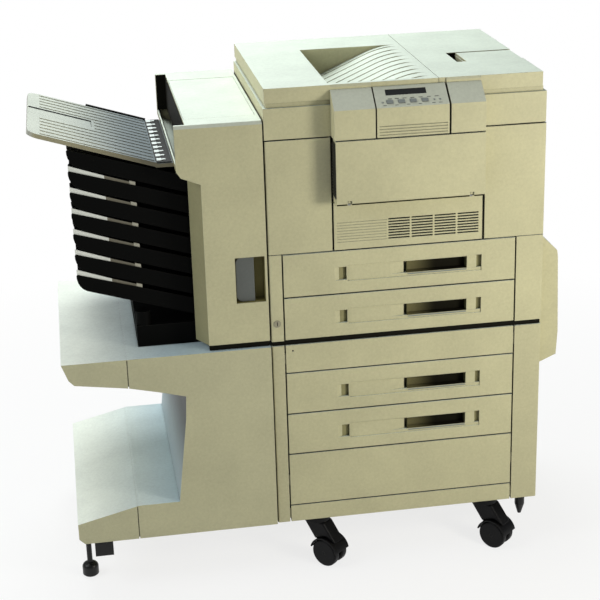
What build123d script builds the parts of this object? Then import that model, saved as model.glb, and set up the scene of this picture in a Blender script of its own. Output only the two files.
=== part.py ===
from build123d import *
import math
import os

os.makedirs("parts", exist_ok=True)

# An office laser printer on a wheeled pedestal, with four paper cassettes and a seven bin sorter.
# Every piece is drawn with X from the left side of the main unit, Y from its front face going
# back, and Z from the floor. The last lines move the origin to the middle of the base.

# Main unit: overall sizes
unit_width = 590
unit_depth = 490
floor_gap = 118
skirt_height = 40
lower_panel_height = 124
drawer_pitch = 96
rail_height = 64
stack_gap = 11
tower_height = 244
upper_height = 106

# Walls and gaps
skin = 3
plate = 4
reveal = 3
running_gap = 0.3
pin_clearance = 0.1
shaft_clearance = 0.05
pin_radius = 3
ear_radius = 5
ear_width = 6
lug_width = 5

# Posts beside the drawers and towers beside the front cover
left_post_width = 27
right_post_width = 59
left_tower_width = 135
right_tower_width = 130
post_corner_radius = 4

# Cassettes
cassette_front_depth = 26
bay_clearance = 2
tray_side_gap = 13
tray_length = 400
tray_wall = 2.5
tray_lift = 6
tray_height = 74
runner_height = 24
runner_thickness = 3
runner_reach = 9.5
ledge_reach = 10
ledge_thickness = 4
guide_spacing = 300
guide_height = 50
band_start = 136
band_end = 425
band_bottom = 26
band_height = 35
band_depth = 2
pocket_start = 257
pocket_end = 393
pocket_bottom = 33
pocket_height = 26
pocket_depth = 20
slider_start = 228
end_recess_depth = 16
size_window_start = 108
size_window_width = 26
size_window_depth = 9
lock_radius = 8
lock_height = 40
lock_length = 16
key_slot_width = 1.6
key_slot_length = 9
key_slot_depth = 6

# Control panel and the wings beside it, in the profile seen from the side
panel_proud = 40
panel_fold_height = 62
slope_top_depth = 1
slope_top_height = 96
riser_depth = 4
wing_left_start = 137
panel_start = 224
panel_end = 373
upper_seam = 376
top_seam = 361
wing_right_gap = 11
panel_groove_count = 4
panel_groove_pitch = 6
panel_groove_depth = 1.5
display_width = 84
display_height = 15
display_thickness = 2
display_start = 247
display_up_slope = 38
key_count = 4
key_width = 13
key_height = 8
key_pitch = 24
key_up_slope = 14
key_proud = 1.5
key_flange = 2

# Front cover of the engine
cover_left = 139
cover_bottom_height = 108
cover_chamfer = 5
cover_relief = 10
cover_hinge_rise = 8
cover_arm_inset = 24
side_rib_count = 15
side_rib_depth = 2

# Vent panel under the front cover
vent_right_gap = 5
vent_height = 102
louvre_start = 254
louvre_right_margin = 8
louvre_columns = 4
louvre_rows = 8
louvre_bottom = 16
louvre_pitch = 6
louvre_slot = 3
louvre_bar = 4
groove_inset = 6

# Upper unit: the lid with its paper recess, and the part that opens
lid_band_height = 30
lid_groove_height = 10
lid_groove_depth = 6
lid_inset = 3
lid_right_inset = 8
recess_front = 17
recess_back = 366
ramp_low_drop = 76
ramp_bend_x = 275
ramp_bend_drop = 16
ramp_end = 357
ramp_rib_count = 10
ramp_rib_height = 1.6
ramp_rib_width = 7
exit_slot_height = 16
exit_slot_rise = 26
lever_inset = 133
lever_front = 143
lever_back = 241
lever_depth = 6
finger_hole_width = 21
finger_hole_depth = 16
lever_thickness = 4
rear_hinge_inset = 10
rear_hinge_rise = 6

# Engine inside the covers
frame_front = 20
frame_back_gap = 10
shelf_height = 110
deck_width = 34
scanner_width = 260
scanner_front = 120
scanner_length = 260
scanner_height = 42
cartridge_start = 190
cartridge_width = 200
cartridge_height = 66
cartridge_length = 380
fuser_width = 84
fuser_height = 96
fuser_front = 70
fuser_rise = 60
fuser_wall = 5
hot_roller_radius = 18
press_roller_radius = 17
roller_journal_radius = 5
fan_radius = 44
fan_hub_radius = 18
fan_blades = 7
fan_thickness = 16
fan_spokes = 3
fan_inset = 70
fan_rise = 150
inlet_x = 70
inlet_rise = 40
inlet_width = 50
inlet_height = 28
inlet_depth = 24

# Cover over the side of the paper path, at the right
side_cover_reach = 52
side_cover_front = 40
side_cover_back = 450
side_cover_top = 731
side_cover_bottom = 426
side_cover_gap = 2.5
side_hinge_reach = 10
side_hinge_inset = 9
side_ear_length = 16
side_ear_setback = 8
side_corner_cut = 4

# Stand beside the pedestal
stand_width = 440
stand_front = -6
stand_depth = 523
stand_rise = 2
shelf_level = 198
stand_seam = 305
stand_seam_gap = 2
spigot_length = 10
dock_gap = 2
foot_x = -418
foot_radius = 18
foot_height = 30
foot_shoulder_round = 10
foot_sole_edge = 3
foot_boss_height = 25
foot_stem_radius = 6
foot_inset = 76
bracket_width = 40
bracket_depth = 40
bracket_drop = 48
bracket_inset = 26
bracket_wall = 5
bracket_top = 8
stop_foot_radius = 11
stop_foot_rest = 66
stop_foot_cone = 24
stop_foot_tip = 4
stop_foot_inset = 30
stop_foot_y = 26

# Casters: twin wheels on a swivelling fork, set off from the swivel's axis by their trail
caster_inset_left = 92
caster_inset_right = 112
caster_inset_y = 34
caster_angle = -47
caster_trail = 34
wheel_radius = 32
wheel_width = 18
wheel_tread_round = 5
axle_radius = 4
fork_web = 8
fork_side_gap = 1
head_radius = 30
head_height = 14
stem_radius = 5
stem_length = 16
boss_radius = 16
hood_wall = 3

# Sorter
sorter_gap = 3
sorter_depth = 512
sorter_rise = 13
sorter_body_width = 129
sorter_head_width = 177
sorter_top = 1027
head_bottom = 933
sorter_pillar = 45
cheek_front = 2
cheek_reach = 23
lid_plate_left = -155
lid_plate_right = -10
lid_plate_front = 57
lid_plate_back = 430
grip_left = -70
grip_right = -8
grip_bottom = 642
grip_top = 742
grip_depth = 30
latch_left = -68
latch_right = -30
latch_thickness = 5
latch_corner_round = 14
latch_pin_radius = 2
rack_wall = 3
rack_inset = 2
base_left = -278
base_front = 60
base_height = 47
post_radius = 16
post_height = 30

# Bins and trays
bin_count = 7
bin_pitch = 44.5
bin_slope = 16.6
bin_tip_x = -395
bin_tip_z = 980
bin_blade = 36
bin_floor = 2.5
bin_front = 60
bin_back = 452
bin_heel = ((0, 4), (1.5, 16), (5, 26), (11, 34), (20, 39.5))
bin_heel_inside = ((-1, 24), (7.3, 24), (12.8, 32.3), (21, 37))
bin_notch_width = 110
bin_notch_length = 60
tray_tip_x = -468
tray_root_x = -213
tray_root_z = 940
tray_slope = 17.9
tray_back = 430
tray_thickness = 9
tray_corner = 26
tray_rib_count = 14
tray_rib_height = 1.4
tray_rib_width = 9
extension_front = 240
extension_width = 42
extension_length = 138
extension_thickness = 4
tray_root_thickness = 8

# Levels worked out from the sizes above
skirt_top = floor_gap + skirt_height
lower_bay_bottom = skirt_top + lower_panel_height
lower_bay_top = lower_bay_bottom + 2 * drawer_pitch
pedestal_top = lower_bay_top + rail_height
feeder_bottom = pedestal_top + stack_gap
feeder_top = feeder_bottom + 2 * drawer_pitch
upper_bottom = feeder_top + tower_height
unit_top = upper_bottom + upper_height
case_back = unit_depth - skin
bay_left = left_post_width
bay_front = cassette_front_depth + bay_clearance
bay_right = unit_width - right_post_width
right_tower_start = unit_width - right_tower_width
cover_right = right_tower_start - wing_right_gap
wing_right_end = cover_right
vent_end = right_tower_start - vent_right_gap
louvre_end = vent_end - louvre_right_margin
lever_start = unit_width - lever_inset
fuser_length = unit_depth - 2 * fuser_front
stop_foot_x = unit_width - stop_foot_inset
stand_top = pedestal_top + stand_rise
sorter_bottom = stand_top + sorter_rise


def block(x0, x1, y0, y1, z0, z1):
    """A box between two values on each axis."""
    return Pos((x0 + x1) / 2, (y0 + y1) / 2, (z0 + z1) / 2) * Box(x1 - x0, y1 - y0, z1 - z0)


def rod_x(y, z, radius, x0, x1):
    return Pos((x0 + x1) / 2, y, z) * Rot(0, 90, 0) * Cylinder(radius, x1 - x0)


def rod_y(x, z, radius, y0, y1):
    return Pos(x, (y0 + y1) / 2, z) * Rot(90, 0, 0) * Cylinder(radius, y1 - y0)


def rod_z(x, y, radius, z0, z1):
    return Pos(x, y, (z0 + z1) / 2) * Cylinder(radius, z1 - z0)


def outline(points, radii=None):
    """A face through the points, with the corners named in radii rounded."""
    if radii:
        return make_face(FilletPolyline(*points, radius=radii, close=True))
    return make_face(Polyline(*points, close=True))


def front_prism(points, y0, y1, radii=None):
    """An outline drawn in X and Z, drawn out from y0 back to y1."""
    return extrude(Plane.XZ.offset(-y1) * outline(points, radii), y1 - y0)


def side_prism(points, x0, x1):
    """An outline drawn in Y and Z, drawn out from x0 to x1."""
    return extrude(Plane.YZ.offset(x0) * outline(points), x1 - x0)


pieces = {}


def runner_ledges(bottom):
    """The pair of ledges that a cassette in the bay at this level slides on."""
    top = bottom + runner_height - running_gap
    back = case_back - frame_back_gap
    left = block(bay_left, bay_left + ledge_reach, bay_front, back, top - ledge_thickness, top)
    right = block(bay_right - ledge_reach, bay_right, bay_front, back, top - ledge_thickness, top)
    return left + right


def bay_case(bottom, top):
    """A sheet case with a hollow post at each side and an open front between the posts."""
    shape = block(0, unit_width, 0, case_back, bottom, top)
    shape = fillet(shape.edges().filter_by(Axis.Z).group_by(Axis.Y)[0], post_corner_radius)
    shape -= block(bay_left, bay_right, -1, case_back + 1, bottom + plate, top - plate)
    shape -= block(bay_left, bay_right, -1, bay_front, bottom - 1, top + 1)
    shape -= block(skin, bay_left - skin, skin, case_back + 1, bottom + plate, top - plate)
    shape -= block(bay_right + skin, unit_width - skin, skin, case_back + 1, bottom + plate, top - plate)
    return shape


def fascia(bottom, top, left=bay_left + reveal, right=bay_right - reveal):
    """A fixed front panel with turned-in edges, held by lugs that reach the posts."""
    depth = 12
    panel = block(left, right, 0, depth, bottom, top)
    panel -= block(left + skin, right - skin, skin, depth + 1, bottom + skin, top - skin)
    middle = (bottom + top) / 2
    panel += block(left - reveal, left, skin, depth, middle - depth, middle + depth)
    panel += block(right, right + reveal, skin, depth, middle - depth, middle + depth)
    return panel


# Pedestal

caster_places = {
    "front_left": (caster_inset_left, caster_inset_y),
    "front_right": (unit_width - caster_inset_right, caster_inset_y),
    "rear_left": (caster_inset_left, unit_depth - caster_inset_y),
    "rear_right": (unit_width - caster_inset_right, unit_depth - caster_inset_y),
}
side_hinge_x = unit_width + side_hinge_reach
side_hinge_y = side_cover_back - side_hinge_inset
side_cover_span = side_cover_top - side_cover_bottom
side_ears = {
    "pedestal": side_cover_bottom + 0.15 * side_cover_span,
    "feeder": side_cover_top - 0.27 * side_cover_span,
}


def side_ear(level):
    """A hinge ear on the case's right side, set back from where the side cover's rear wall swings."""
    root_back = side_hinge_y - side_ear_setback
    ear = block(unit_width, side_hinge_x, side_hinge_y - side_ear_length, root_back, level, level + ear_width)
    ear += block(side_hinge_x - ear_radius + 1, side_hinge_x, root_back - 1, side_hinge_y, level,
                 level + ear_width)
    ear += rod_z(side_hinge_x, side_hinge_y, ear_radius, level, level + ear_width)
    return ear - rod_z(side_hinge_x, side_hinge_y, pin_radius + pin_clearance, level - 1,
                       level + ear_width + 1)


def pedestal_cabinet():
    shape = bay_case(floor_gap, pedestal_top)
    for level in (lower_bay_bottom, lower_bay_bottom + drawer_pitch):
        shape += runner_ledges(level)
    for x, y in caster_places.values():
        shape += rod_z(x, y, boss_radius, floor_gap, floor_gap + plate + stem_length)
    for x, y in caster_places.values():
        shape -= rod_z(x, y, stem_radius + shaft_clearance, floor_gap - 1, floor_gap + stem_length + 1)
    shape += rod_z(stop_foot_x, stop_foot_y, boss_radius, floor_gap, floor_gap + plate + stem_length)
    shape -= rod_z(stop_foot_x, stop_foot_y, foot_stem_radius + pin_clearance, floor_gap - 1,
                   floor_gap + plate + stem_length + 1)
    return shape + side_ear(side_ears["pedestal"])


def pedestal_top_rail():
    shape = fascia(lower_bay_top + reveal / 2, pedestal_top)
    shape -= rod_y(bay_left + 18, pedestal_top - 13, 2, -1, skin + 1)
    return shape


pieces["pedestal_cabinet"] = pedestal_cabinet()
pieces["pedestal_rear_cover"] = block(0, unit_width, case_back, unit_depth, floor_gap, pedestal_top)
pieces["pedestal_top_rail"] = pedestal_top_rail()
pieces["pedestal_lower_panel"] = fascia(skirt_top + reveal / 2, lower_bay_bottom - reveal / 2)
pieces["pedestal_skirt"] = fascia(floor_gap, skirt_top - reveal / 2)


# Feeder case that holds the two upper cassettes and stands on the pedestal

def feeder_case():
    shape = bay_case(feeder_bottom, feeder_top)
    for level in (feeder_bottom, feeder_bottom + drawer_pitch):
        shape += runner_ledges(level)
    plinth_width = 20
    plinth = block(plinth_width, unit_width - plinth_width, frame_front, case_back, pedestal_top,
                   feeder_bottom)
    plinth -= block(2 * plinth_width, unit_width - 2 * plinth_width, frame_front + plinth_width,
                    case_back - plinth_width, pedestal_top - 1, feeder_bottom + 1)
    shape += plinth
    lock_z = feeder_bottom + lock_height
    shape += rod_y(left_post_width / 2, lock_z, lock_radius + 2, 0, lock_length)
    shape -= rod_y(left_post_width / 2, lock_z, lock_radius + pin_clearance, -1, lock_length + 1)
    return shape + side_ear(side_ears["feeder"])


def lock_cylinder():
    lock_z = feeder_bottom + lock_height
    lock_x = left_post_width / 2
    shape = rod_y(lock_x, lock_z, lock_radius, -1.5, lock_length)
    shape = fillet(shape.faces().sort_by(Axis.Y)[0].edges(), 1)
    shape -= block(lock_x - key_slot_width / 2, lock_x + key_slot_width / 2, -2, key_slot_depth,
                   lock_z - key_slot_length / 2, lock_z + key_slot_length / 2)
    return shape


pieces["feeder_case"] = feeder_case()
pieces["lock_cylinder"] = lock_cylinder()


# Cassettes: a moulded tray on two runners, with a front that has a grip and a size window

front_left = bay_left + reveal
front_right = bay_right - reveal
front_height = drawer_pitch - reveal
tray_left = bay_left + tray_side_gap
tray_right = bay_right - tray_side_gap


def cassette_tray(bottom):
    floor = bottom + tray_lift
    back = cassette_front_depth + tray_length
    shape = block(tray_left, tray_right, cassette_front_depth, back, floor, floor + tray_height)
    shape -= block(tray_left + tray_wall, tray_right - tray_wall, cassette_front_depth + tray_wall,
                   back - tray_wall, floor + tray_wall, floor + tray_height + 1)
    runner = bottom + runner_height
    front = cassette_front_depth + 2 * tray_side_gap
    shape += block(tray_left - runner_reach, tray_left, front, back, runner, runner + runner_thickness)
    shape += block(tray_right, tray_right + runner_reach, front, back, runner, runner + runner_thickness)
    middle = (cassette_front_depth + back) / 2
    for y in (middle - guide_spacing / 2, middle + guide_spacing / 2):
        shape += block(tray_left + 4 * tray_side_gap, tray_left + 10 * tray_side_gap, y - tray_wall / 2,
                       y + tray_wall / 2, floor, floor + guide_height)
    return shape


def cassette_front(bottom):
    low = bottom + reveal / 2
    high = low + front_height
    shape = block(front_left, front_right, 0, cassette_front_depth, low, high)
    shape = fillet(shape.faces().sort_by(Axis.Y)[0].edges(), 1)
    shape -= block(front_left + skin, front_right - skin, skin, cassette_front_depth - skin, low + skin,
                   high - skin)
    x = front_left
    pocket_low = low + pocket_bottom
    pocket_high = pocket_low + pocket_height
    band_low = low + band_bottom
    band_high = band_low + band_height
    depth = pocket_depth + skin
    shape += block(x + slider_start - skin, x + pocket_end + skin, band_depth, depth, pocket_low - skin,
                   pocket_high + skin)
    shape += block(x + band_start - skin, x + band_end + skin, 0, band_depth + skin, band_low - skin,
                   band_high + skin)
    shape += block(x + size_window_start - skin, x + size_window_start + size_window_width + skin, 0,
                   size_window_depth + skin, band_low - skin, band_high + skin)
    shape += block(x + pocket_end, x + band_end + skin, 0, end_recess_depth + skin, band_low - skin,
                   band_high + skin)
    shape -= block(x + band_start, x + band_end, -1, band_depth, band_low, band_high)
    shape -= block(x + pocket_end, x + band_end, -1, end_recess_depth, pocket_low, band_high)
    shape -= block(x + pocket_start, x + pocket_end, -1, pocket_depth, pocket_low, pocket_high)
    ramp = [(x + slider_start, band_depth), (x + pocket_start, 3 * band_depth), (x + pocket_start, 0),
            (x + slider_start, 0)]
    shape -= extrude(Plane.XY.offset(pocket_low) * outline(ramp), pocket_height)
    window = [(x + size_window_start, 0), (x + size_window_start + size_window_width, 0),
              (x + size_window_start + size_window_width, size_window_depth)]
    shape -= extrude(Plane.XY.offset(band_low + skin) * outline(window), band_height - 2 * skin)
    return shape


cassette_levels = [
    feeder_bottom + drawer_pitch,
    feeder_bottom,
    lower_bay_bottom + drawer_pitch,
    lower_bay_bottom,
]
for number, level in enumerate(cassette_levels, 1):
    pieces[f"cassette_tray_{number}"] = cassette_tray(level)
    pieces[f"cassette_front_{number}"] = cassette_front(level)


# Engine frame, and what it carries

shelf_top = feeder_top + shelf_height
cover_hinge_y = -(panel_proud - skin - ear_radius - 1)
cover_bottom = feeder_top + cover_bottom_height
cover_hinge_z = cover_bottom + cover_hinge_rise
cover_arms = (cover_left + cover_arm_inset, cover_right - cover_arm_inset - ear_width)
rear_hinge_y = case_back - rear_hinge_inset
rear_hinge_z = upper_bottom + rear_hinge_rise
rear_ears = (top_seam + 55, unit_width - 60)


def engine_frame():
    back = case_back - frame_back_gap
    shape = block(skin, unit_width - skin, frame_front, case_back, feeder_top, feeder_top + plate)
    for x in (left_tower_width - skin, right_tower_start):
        shape += block(x, x + skin, frame_front, back, feeder_top, upper_bottom)
    shape += block(left_tower_width, right_tower_start, frame_front, back, shelf_top - plate, shelf_top)
    deck = upper_bottom - plate
    deck_back = rear_hinge_y - ear_radius - running_gap - lug_width
    shape += block(left_tower_width, unit_width - 2 * skin, deck_back - deck_width, deck_back, deck,
                   upper_bottom)
    for x in rear_ears:
        shape += block(x, x + ear_width, deck_back - ear_width, rear_hinge_y + ear_radius, deck, rear_hinge_z)
        shape += rod_x(rear_hinge_y, rear_hinge_z, ear_radius, x, x + ear_width)
        shape -= rod_x(rear_hinge_y, rear_hinge_z, pin_radius + pin_clearance, x - 1, x + ear_width + 1)
    for x in cover_arms:
        arm = block(x, x + ear_width, cover_hinge_y, frame_front, shelf_top - plate,
                    cover_hinge_z + ear_radius)
        arm += rod_x(cover_hinge_y, cover_hinge_z, ear_radius, x, x + ear_width)
        arm -= rod_x(cover_hinge_y, cover_hinge_z, pin_radius + pin_clearance, x - 1, x + ear_width + 1)
        shape += arm
    return shape


def laser_scanner():
    left = (left_tower_width + right_tower_start - scanner_width) / 2
    base = upper_bottom - scanner_height - plate
    shape = block(left, left + scanner_width, scanner_front, scanner_front + scanner_length, base,
                  base + scanner_height)
    shape = fillet(shape.edges().filter_by(Axis.Z), 8)
    shape += block(left_tower_width, right_tower_start, scanner_front, scanner_front + scanner_length, base,
                   base + plate)
    window = block(left + scanner_width / 2 - 8, left + scanner_width / 2 + 8, scanner_front + 20,
                   scanner_front + scanner_length - 20, base - 1, base + plate)
    return shape - window


def toner_cartridge():
    front = frame_front + 5
    body = [(cartridge_start, shelf_top), (cartridge_start + cartridge_width, shelf_top),
            (cartridge_start + cartridge_width, shelf_top + cartridge_height * 0.55),
            (cartridge_start + cartridge_width * 0.6, shelf_top + cartridge_height),
            (cartridge_start, shelf_top + cartridge_height)]
    shape = front_prism(body, front, front + cartridge_length)
    grip = block(cartridge_start + 70, cartridge_start + 130, front - 1, front + 12, shelf_top + 15,
                 shelf_top + 40)
    return shape - grip


fuser_right = left_tower_width - skin
fuser_left = fuser_right - fuser_width
fuser_bottom = feeder_top + fuser_rise
roller_x = (fuser_left + fuser_right) / 2
press_z = fuser_bottom + fuser_wall + press_roller_radius + 3
hot_z = press_z + press_roller_radius + hot_roller_radius + running_gap


def fuser_unit():
    shape = block(fuser_left, fuser_right, fuser_front, fuser_front + fuser_length, fuser_bottom,
                  fuser_bottom + fuser_height)
    shape -= block(fuser_left + fuser_wall, fuser_right - fuser_wall, fuser_front + fuser_wall,
                   fuser_front + fuser_length - fuser_wall, fuser_bottom + fuser_wall,
                   fuser_bottom + fuser_height + 1)
    for z in (press_z, hot_z):
        shape -= rod_y(roller_x, z, roller_journal_radius + shaft_clearance, fuser_front - 1,
                       fuser_front + fuser_length + 1)
    return shape


def fuser_shaft(radius, z):
    """A roller whose journals run in the two end walls of the fuser."""
    end_gap = 2
    start = fuser_front + fuser_wall + end_gap
    stop = fuser_front + fuser_length - fuser_wall - end_gap
    shape = rod_y(roller_x, z, radius, start, stop)
    return shape + rod_y(roller_x, z, roller_journal_radius, fuser_front, fuser_front + fuser_length)


pieces["engine_frame"] = engine_frame()
pieces["laser_scanner"] = laser_scanner()
pieces["toner_cartridge"] = toner_cartridge()
pieces["fuser_unit"] = fuser_unit()
pieces["fuser_roller"] = fuser_shaft(hot_roller_radius, hot_z)
pieces["pressure_roller"] = fuser_shaft(press_roller_radius, press_z)


# Covers round the engine, with the fan and the power inlet at the back

def tower_cover(x0, x1, outer, inner):
    """The cover of one tower: its front, its outer side and a return beside the front cover."""
    top = upper_bottom - reveal / 2
    shape = block(x0, x1, 0, case_back, feeder_top + reveal / 2, top)
    corner = shape.edges().filter_by(Axis.Z).group_by(Axis.Y)[0]
    shape = fillet(corner.sort_by(Axis.X)[0 if outer < inner else -1], post_corner_radius)
    hollow_left = x0 + skin
    hollow_right = x1 - skin
    shape -= block(hollow_left, hollow_right, skin, case_back + 1, feeder_top - 1, top + 1)
    if outer < inner:
        shape -= block(hollow_right - 1, x1 + 1, frame_front, case_back + 1, feeder_top - 1, top + 1)
    else:
        shape -= block(x0 - 1, hollow_left + 1, frame_front, case_back + 1, feeder_top - 1, top + 1)
    shape += block(x0 + skin, x0 + 4 * skin, skin, frame_front + 3 * skin, feeder_top + plate,
                   feeder_top + 4 * plate)
    return shape


fan_x = unit_width - fan_inset
fan_z = feeder_top + fan_rise
fan_front = case_back - fan_thickness - 6
inlet_z = feeder_top + inlet_rise


def rear_cover():
    shape = block(0, unit_width, case_back, unit_depth, feeder_bottom, upper_bottom - reveal / 2)
    ring = rod_y(fan_x, fan_z, fan_radius + 5, fan_front, case_back)
    ring -= rod_y(fan_x, fan_z, fan_radius + 2, fan_front - 1, case_back + 1)
    shape -= rod_y(fan_x, fan_z, fan_radius, case_back - 1, unit_depth + 1)
    for radius in (fan_radius - 12, fan_radius - 24):
        hoop = rod_y(fan_x, fan_z, radius + 1.5, case_back, unit_depth)
        hoop -= rod_y(fan_x, fan_z, radius - 1.5, case_back - 1, unit_depth + 1)
        shape += hoop
    for turn in range(fan_spokes):
        spoke = Box(2 * fan_radius + 2, skin, skin)
        shape += Pos(fan_x, (case_back + unit_depth) / 2, fan_z) * Rot(0, turn * 180 / fan_spokes, 0) * spoke
    shape += rod_y(fan_x, fan_z, fan_hub_radius - 4, case_back, unit_depth)
    shape += rod_y(fan_x, fan_z, pin_radius, fan_front, case_back)
    shape += ring
    shape -= block(inlet_x, inlet_x + inlet_width, case_back - 1, unit_depth + 1, inlet_z,
                   inlet_z + inlet_height)
    return shape


def fan_rotor():
    front = fan_front + 2
    back = front + fan_thickness
    shape = rod_y(fan_x, fan_z, fan_hub_radius, front, back)
    for turn in range(fan_blades):
        blade = Rot(35, 0, 0) * Box(fan_radius - fan_hub_radius + 1, fan_thickness, 1.5)
        blade = Pos((fan_hub_radius + fan_radius - 1) / 2, 0, 0) * blade
        shape += Pos(fan_x, (front + back) / 2, fan_z) * Rot(0, turn * 360 / fan_blades, 0) * blade
    return shape - rod_y(fan_x, fan_z, pin_radius + shaft_clearance, front - 1, back + 1)


def power_inlet():
    shape = block(inlet_x, inlet_x + inlet_width, unit_depth - inlet_depth, unit_depth, inlet_z,
                  inlet_z + inlet_height)
    shape += block(inlet_x - 4, inlet_x + inlet_width + 4, unit_depth, unit_depth + 2, inlet_z - 4,
                   inlet_z + inlet_height + 4)
    shape -= block(inlet_x + 10, inlet_x + inlet_width - 10, unit_depth - inlet_depth + skin, unit_depth + 3,
                   inlet_z + 4, inlet_z + inlet_height - 4)
    for offset in (-7, 0, 7):
        x = inlet_x + inlet_width / 2 + offset
        z = inlet_z + inlet_height / 2 + (3 if offset == 0 else -3)
        shape += block(x - 1, x + 1, unit_depth - inlet_depth + skin - 1, unit_depth - 4, z - 2, z + 2)
    return shape


pieces["engine_left_cover"] = tower_cover(0, left_tower_width, 0, 1)
pieces["engine_right_cover"] = tower_cover(right_tower_start, unit_width, 1, 0)
pieces["rear_cover"] = rear_cover()
pieces["fan_rotor"] = fan_rotor()
pieces["power_inlet"] = power_inlet()


# Vent panel

def vent_grille():
    low = feeder_top + reveal / 2
    shape = fascia(low, low + vent_height, cover_left, vent_end)
    shape -= block(cover_left - reveal - 1, cover_left, 0, 20, low, low + vent_height)
    shape -= block(vent_end, vent_end + reveal + 1, 0, 20, low, low + vent_height)
    shape += block(left_tower_width, cover_left, skin, 4 * skin, low + 20, low + 50)
    shape += block(vent_end, right_tower_start, skin, 4 * skin, low + 20, low + 50)
    column = (louvre_end - louvre_start - (louvre_columns - 1) * louvre_bar) / louvre_columns
    for row in range(louvre_rows):
        z = low + louvre_bottom + row * louvre_pitch
        for number in range(louvre_columns):
            x = louvre_start + number * (column + louvre_bar)
            shape -= block(x, x + column, -1, skin + 1, z, z + louvre_slot)
        shape -= block(cover_left + groove_inset, louvre_start - louvre_bar, -1, 0.8, z, z + 1.2)
    return shape


pieces["vent_grille"] = vent_grille()


# Front cover: a deep shell with ribs in its left side, hinged at its foot

cover_top = upper_bottom - reveal / 2


def front_cover():
    front = -panel_proud
    back = -2
    shape = block(cover_left, cover_right, front, back, cover_bottom, cover_top)
    shape = chamfer(shape.edges().filter_by(Axis.X).group_by(Axis.Z)[0].sort_by(Axis.Y)[0], cover_chamfer)
    shape -= block(cover_left + skin, cover_right - skin, front + skin, back + 1, cover_bottom + skin,
                   cover_top - skin)
    relief = [(back + 1, cover_top + 1), (back + 1, cover_top - 3 * cover_relief),
              (back - cover_relief, cover_top),
              (back - cover_relief, cover_top + 1)]
    shape -= side_prism(relief, cover_left - 1, cover_right + 1)
    band_low = cover_bottom + 12
    band_high = cover_top - 8
    pitch = (band_high - band_low) / side_rib_count
    shape += block(cover_left + skin, cover_left + 2 * skin, front + skin, back, cover_bottom, cover_top)
    for rib in range(side_rib_count):
        z = band_low + rib * pitch
        shape -= block(cover_left - 1, cover_left + side_rib_depth, front + 6, back - 6, z, z + pitch / 2)
    for x in cover_arms:
        shape -= block(x - 1.5, x + ear_width + 1.5, front - 1, back + 1, cover_bottom - 1, cover_hinge_z + 2)
        pin_start = x + ear_width + 0.5
        shape += block(pin_start, pin_start + lug_width, front + skin, cover_hinge_y + ear_radius,
                       cover_bottom + skin, cover_hinge_z + ear_radius)
        shape += rod_x(cover_hinge_y, cover_hinge_z, pin_radius, x, pin_start)
    return shape


pieces["front_cover"] = front_cover()


# Control panel on the slope between the two wings

fold_z = upper_bottom + panel_fold_height
slope_top_z = upper_bottom + slope_top_height
slope_rise = slope_top_z - fold_z
slope_run = slope_top_depth + panel_proud
slope_angle = math.degrees(math.atan2(slope_rise, slope_run))
slope_face = Plane(origin=(0, -panel_proud, fold_z), x_dir=(1, 0, 0),
                   z_dir=(0, -math.sin(math.radians(slope_angle)), math.cos(math.radians(slope_angle))))
panel_back = slope_top_depth + riser_depth


def panel_profile(inset, bottom):
    """The side view of the panel and wings, drawn in by a wall's thickness."""
    drop = inset / math.cos(math.radians(slope_angle))
    low_drop = inset * math.tan(math.radians(slope_angle))
    return [(panel_back + (1 if inset else 0), bottom), (-panel_proud + inset, bottom),
            (-panel_proud + inset, fold_z - drop + low_drop), (slope_top_depth, slope_top_z - drop),
            (panel_back + (1 if inset else 0), slope_top_z - drop)]


panel_bottom = upper_bottom + reveal / 2
display_end = display_start + display_width
keys_middle = (display_start + display_end) / 2


def slope_block(x0, x1, up0, up1, depth0, depth1):
    """A box on the slope: across, up the slope, and from depth0 to depth1 out of its face."""
    return slope_face * block(x0, x1, up0, up1, depth0, depth1)


key_places = [keys_middle + (number - (key_count - 1) / 2) * key_pitch for number in range(key_count)]


def control_panel():
    shape = side_prism(panel_profile(0, panel_bottom), panel_start, panel_end)
    shape -= side_prism(panel_profile(skin, panel_bottom - 1), panel_start + skin, panel_end - skin)
    for number in range(panel_groove_count):
        z = panel_bottom + 4 + number * panel_groove_pitch
        shape -= block(panel_start + 5, panel_end - 4, -panel_proud - 1, -panel_proud + panel_groove_depth,
                       z, z + 2)
    half_up = display_height / 2
    shape -= slope_block(display_start, display_end, display_up_slope - half_up,
                         display_up_slope + half_up, -display_thickness, 1)
    shape -= slope_block(display_start + 2, display_end - 2, display_up_slope - half_up + 2,
                         display_up_slope + half_up - 2, -skin - 1, 1)
    for x in key_places:
        shape -= slope_block(x - key_width / 2 - running_gap, x + key_width / 2 + running_gap,
                             key_up_slope - key_height / 2 - running_gap,
                             key_up_slope + key_height / 2 + running_gap, -skin - 1, 1)
    return shape


def display_window():
    return slope_block(display_start, display_end, display_up_slope - display_height / 2,
                       display_up_slope + display_height / 2, -display_thickness, -0.4)


def panel_key(x):
    cap = slope_block(x - key_width / 2, x + key_width / 2, key_up_slope - key_height / 2,
                      key_up_slope + key_height / 2, -skin - running_gap - 1, key_proud)
    foot = slope_block(x - key_width / 2 - key_flange, x + key_width / 2 + key_flange,
                       key_up_slope - key_height / 2 - key_flange, key_up_slope + key_height / 2 + key_flange,
                       -skin - running_gap - 1.5, -skin - running_gap)
    return cap + foot


pieces["control_panel"] = control_panel()
pieces["display_window"] = display_window()
for number, x in enumerate(key_places, 1):
    pieces[f"panel_key_{number}"] = panel_key(x)


# Upper unit: the left cover holds the paper recess, the right cover opens on a hinge at its back

lid_low = unit_top - lid_band_height
groove_low = lid_low - lid_groove_height


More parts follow.
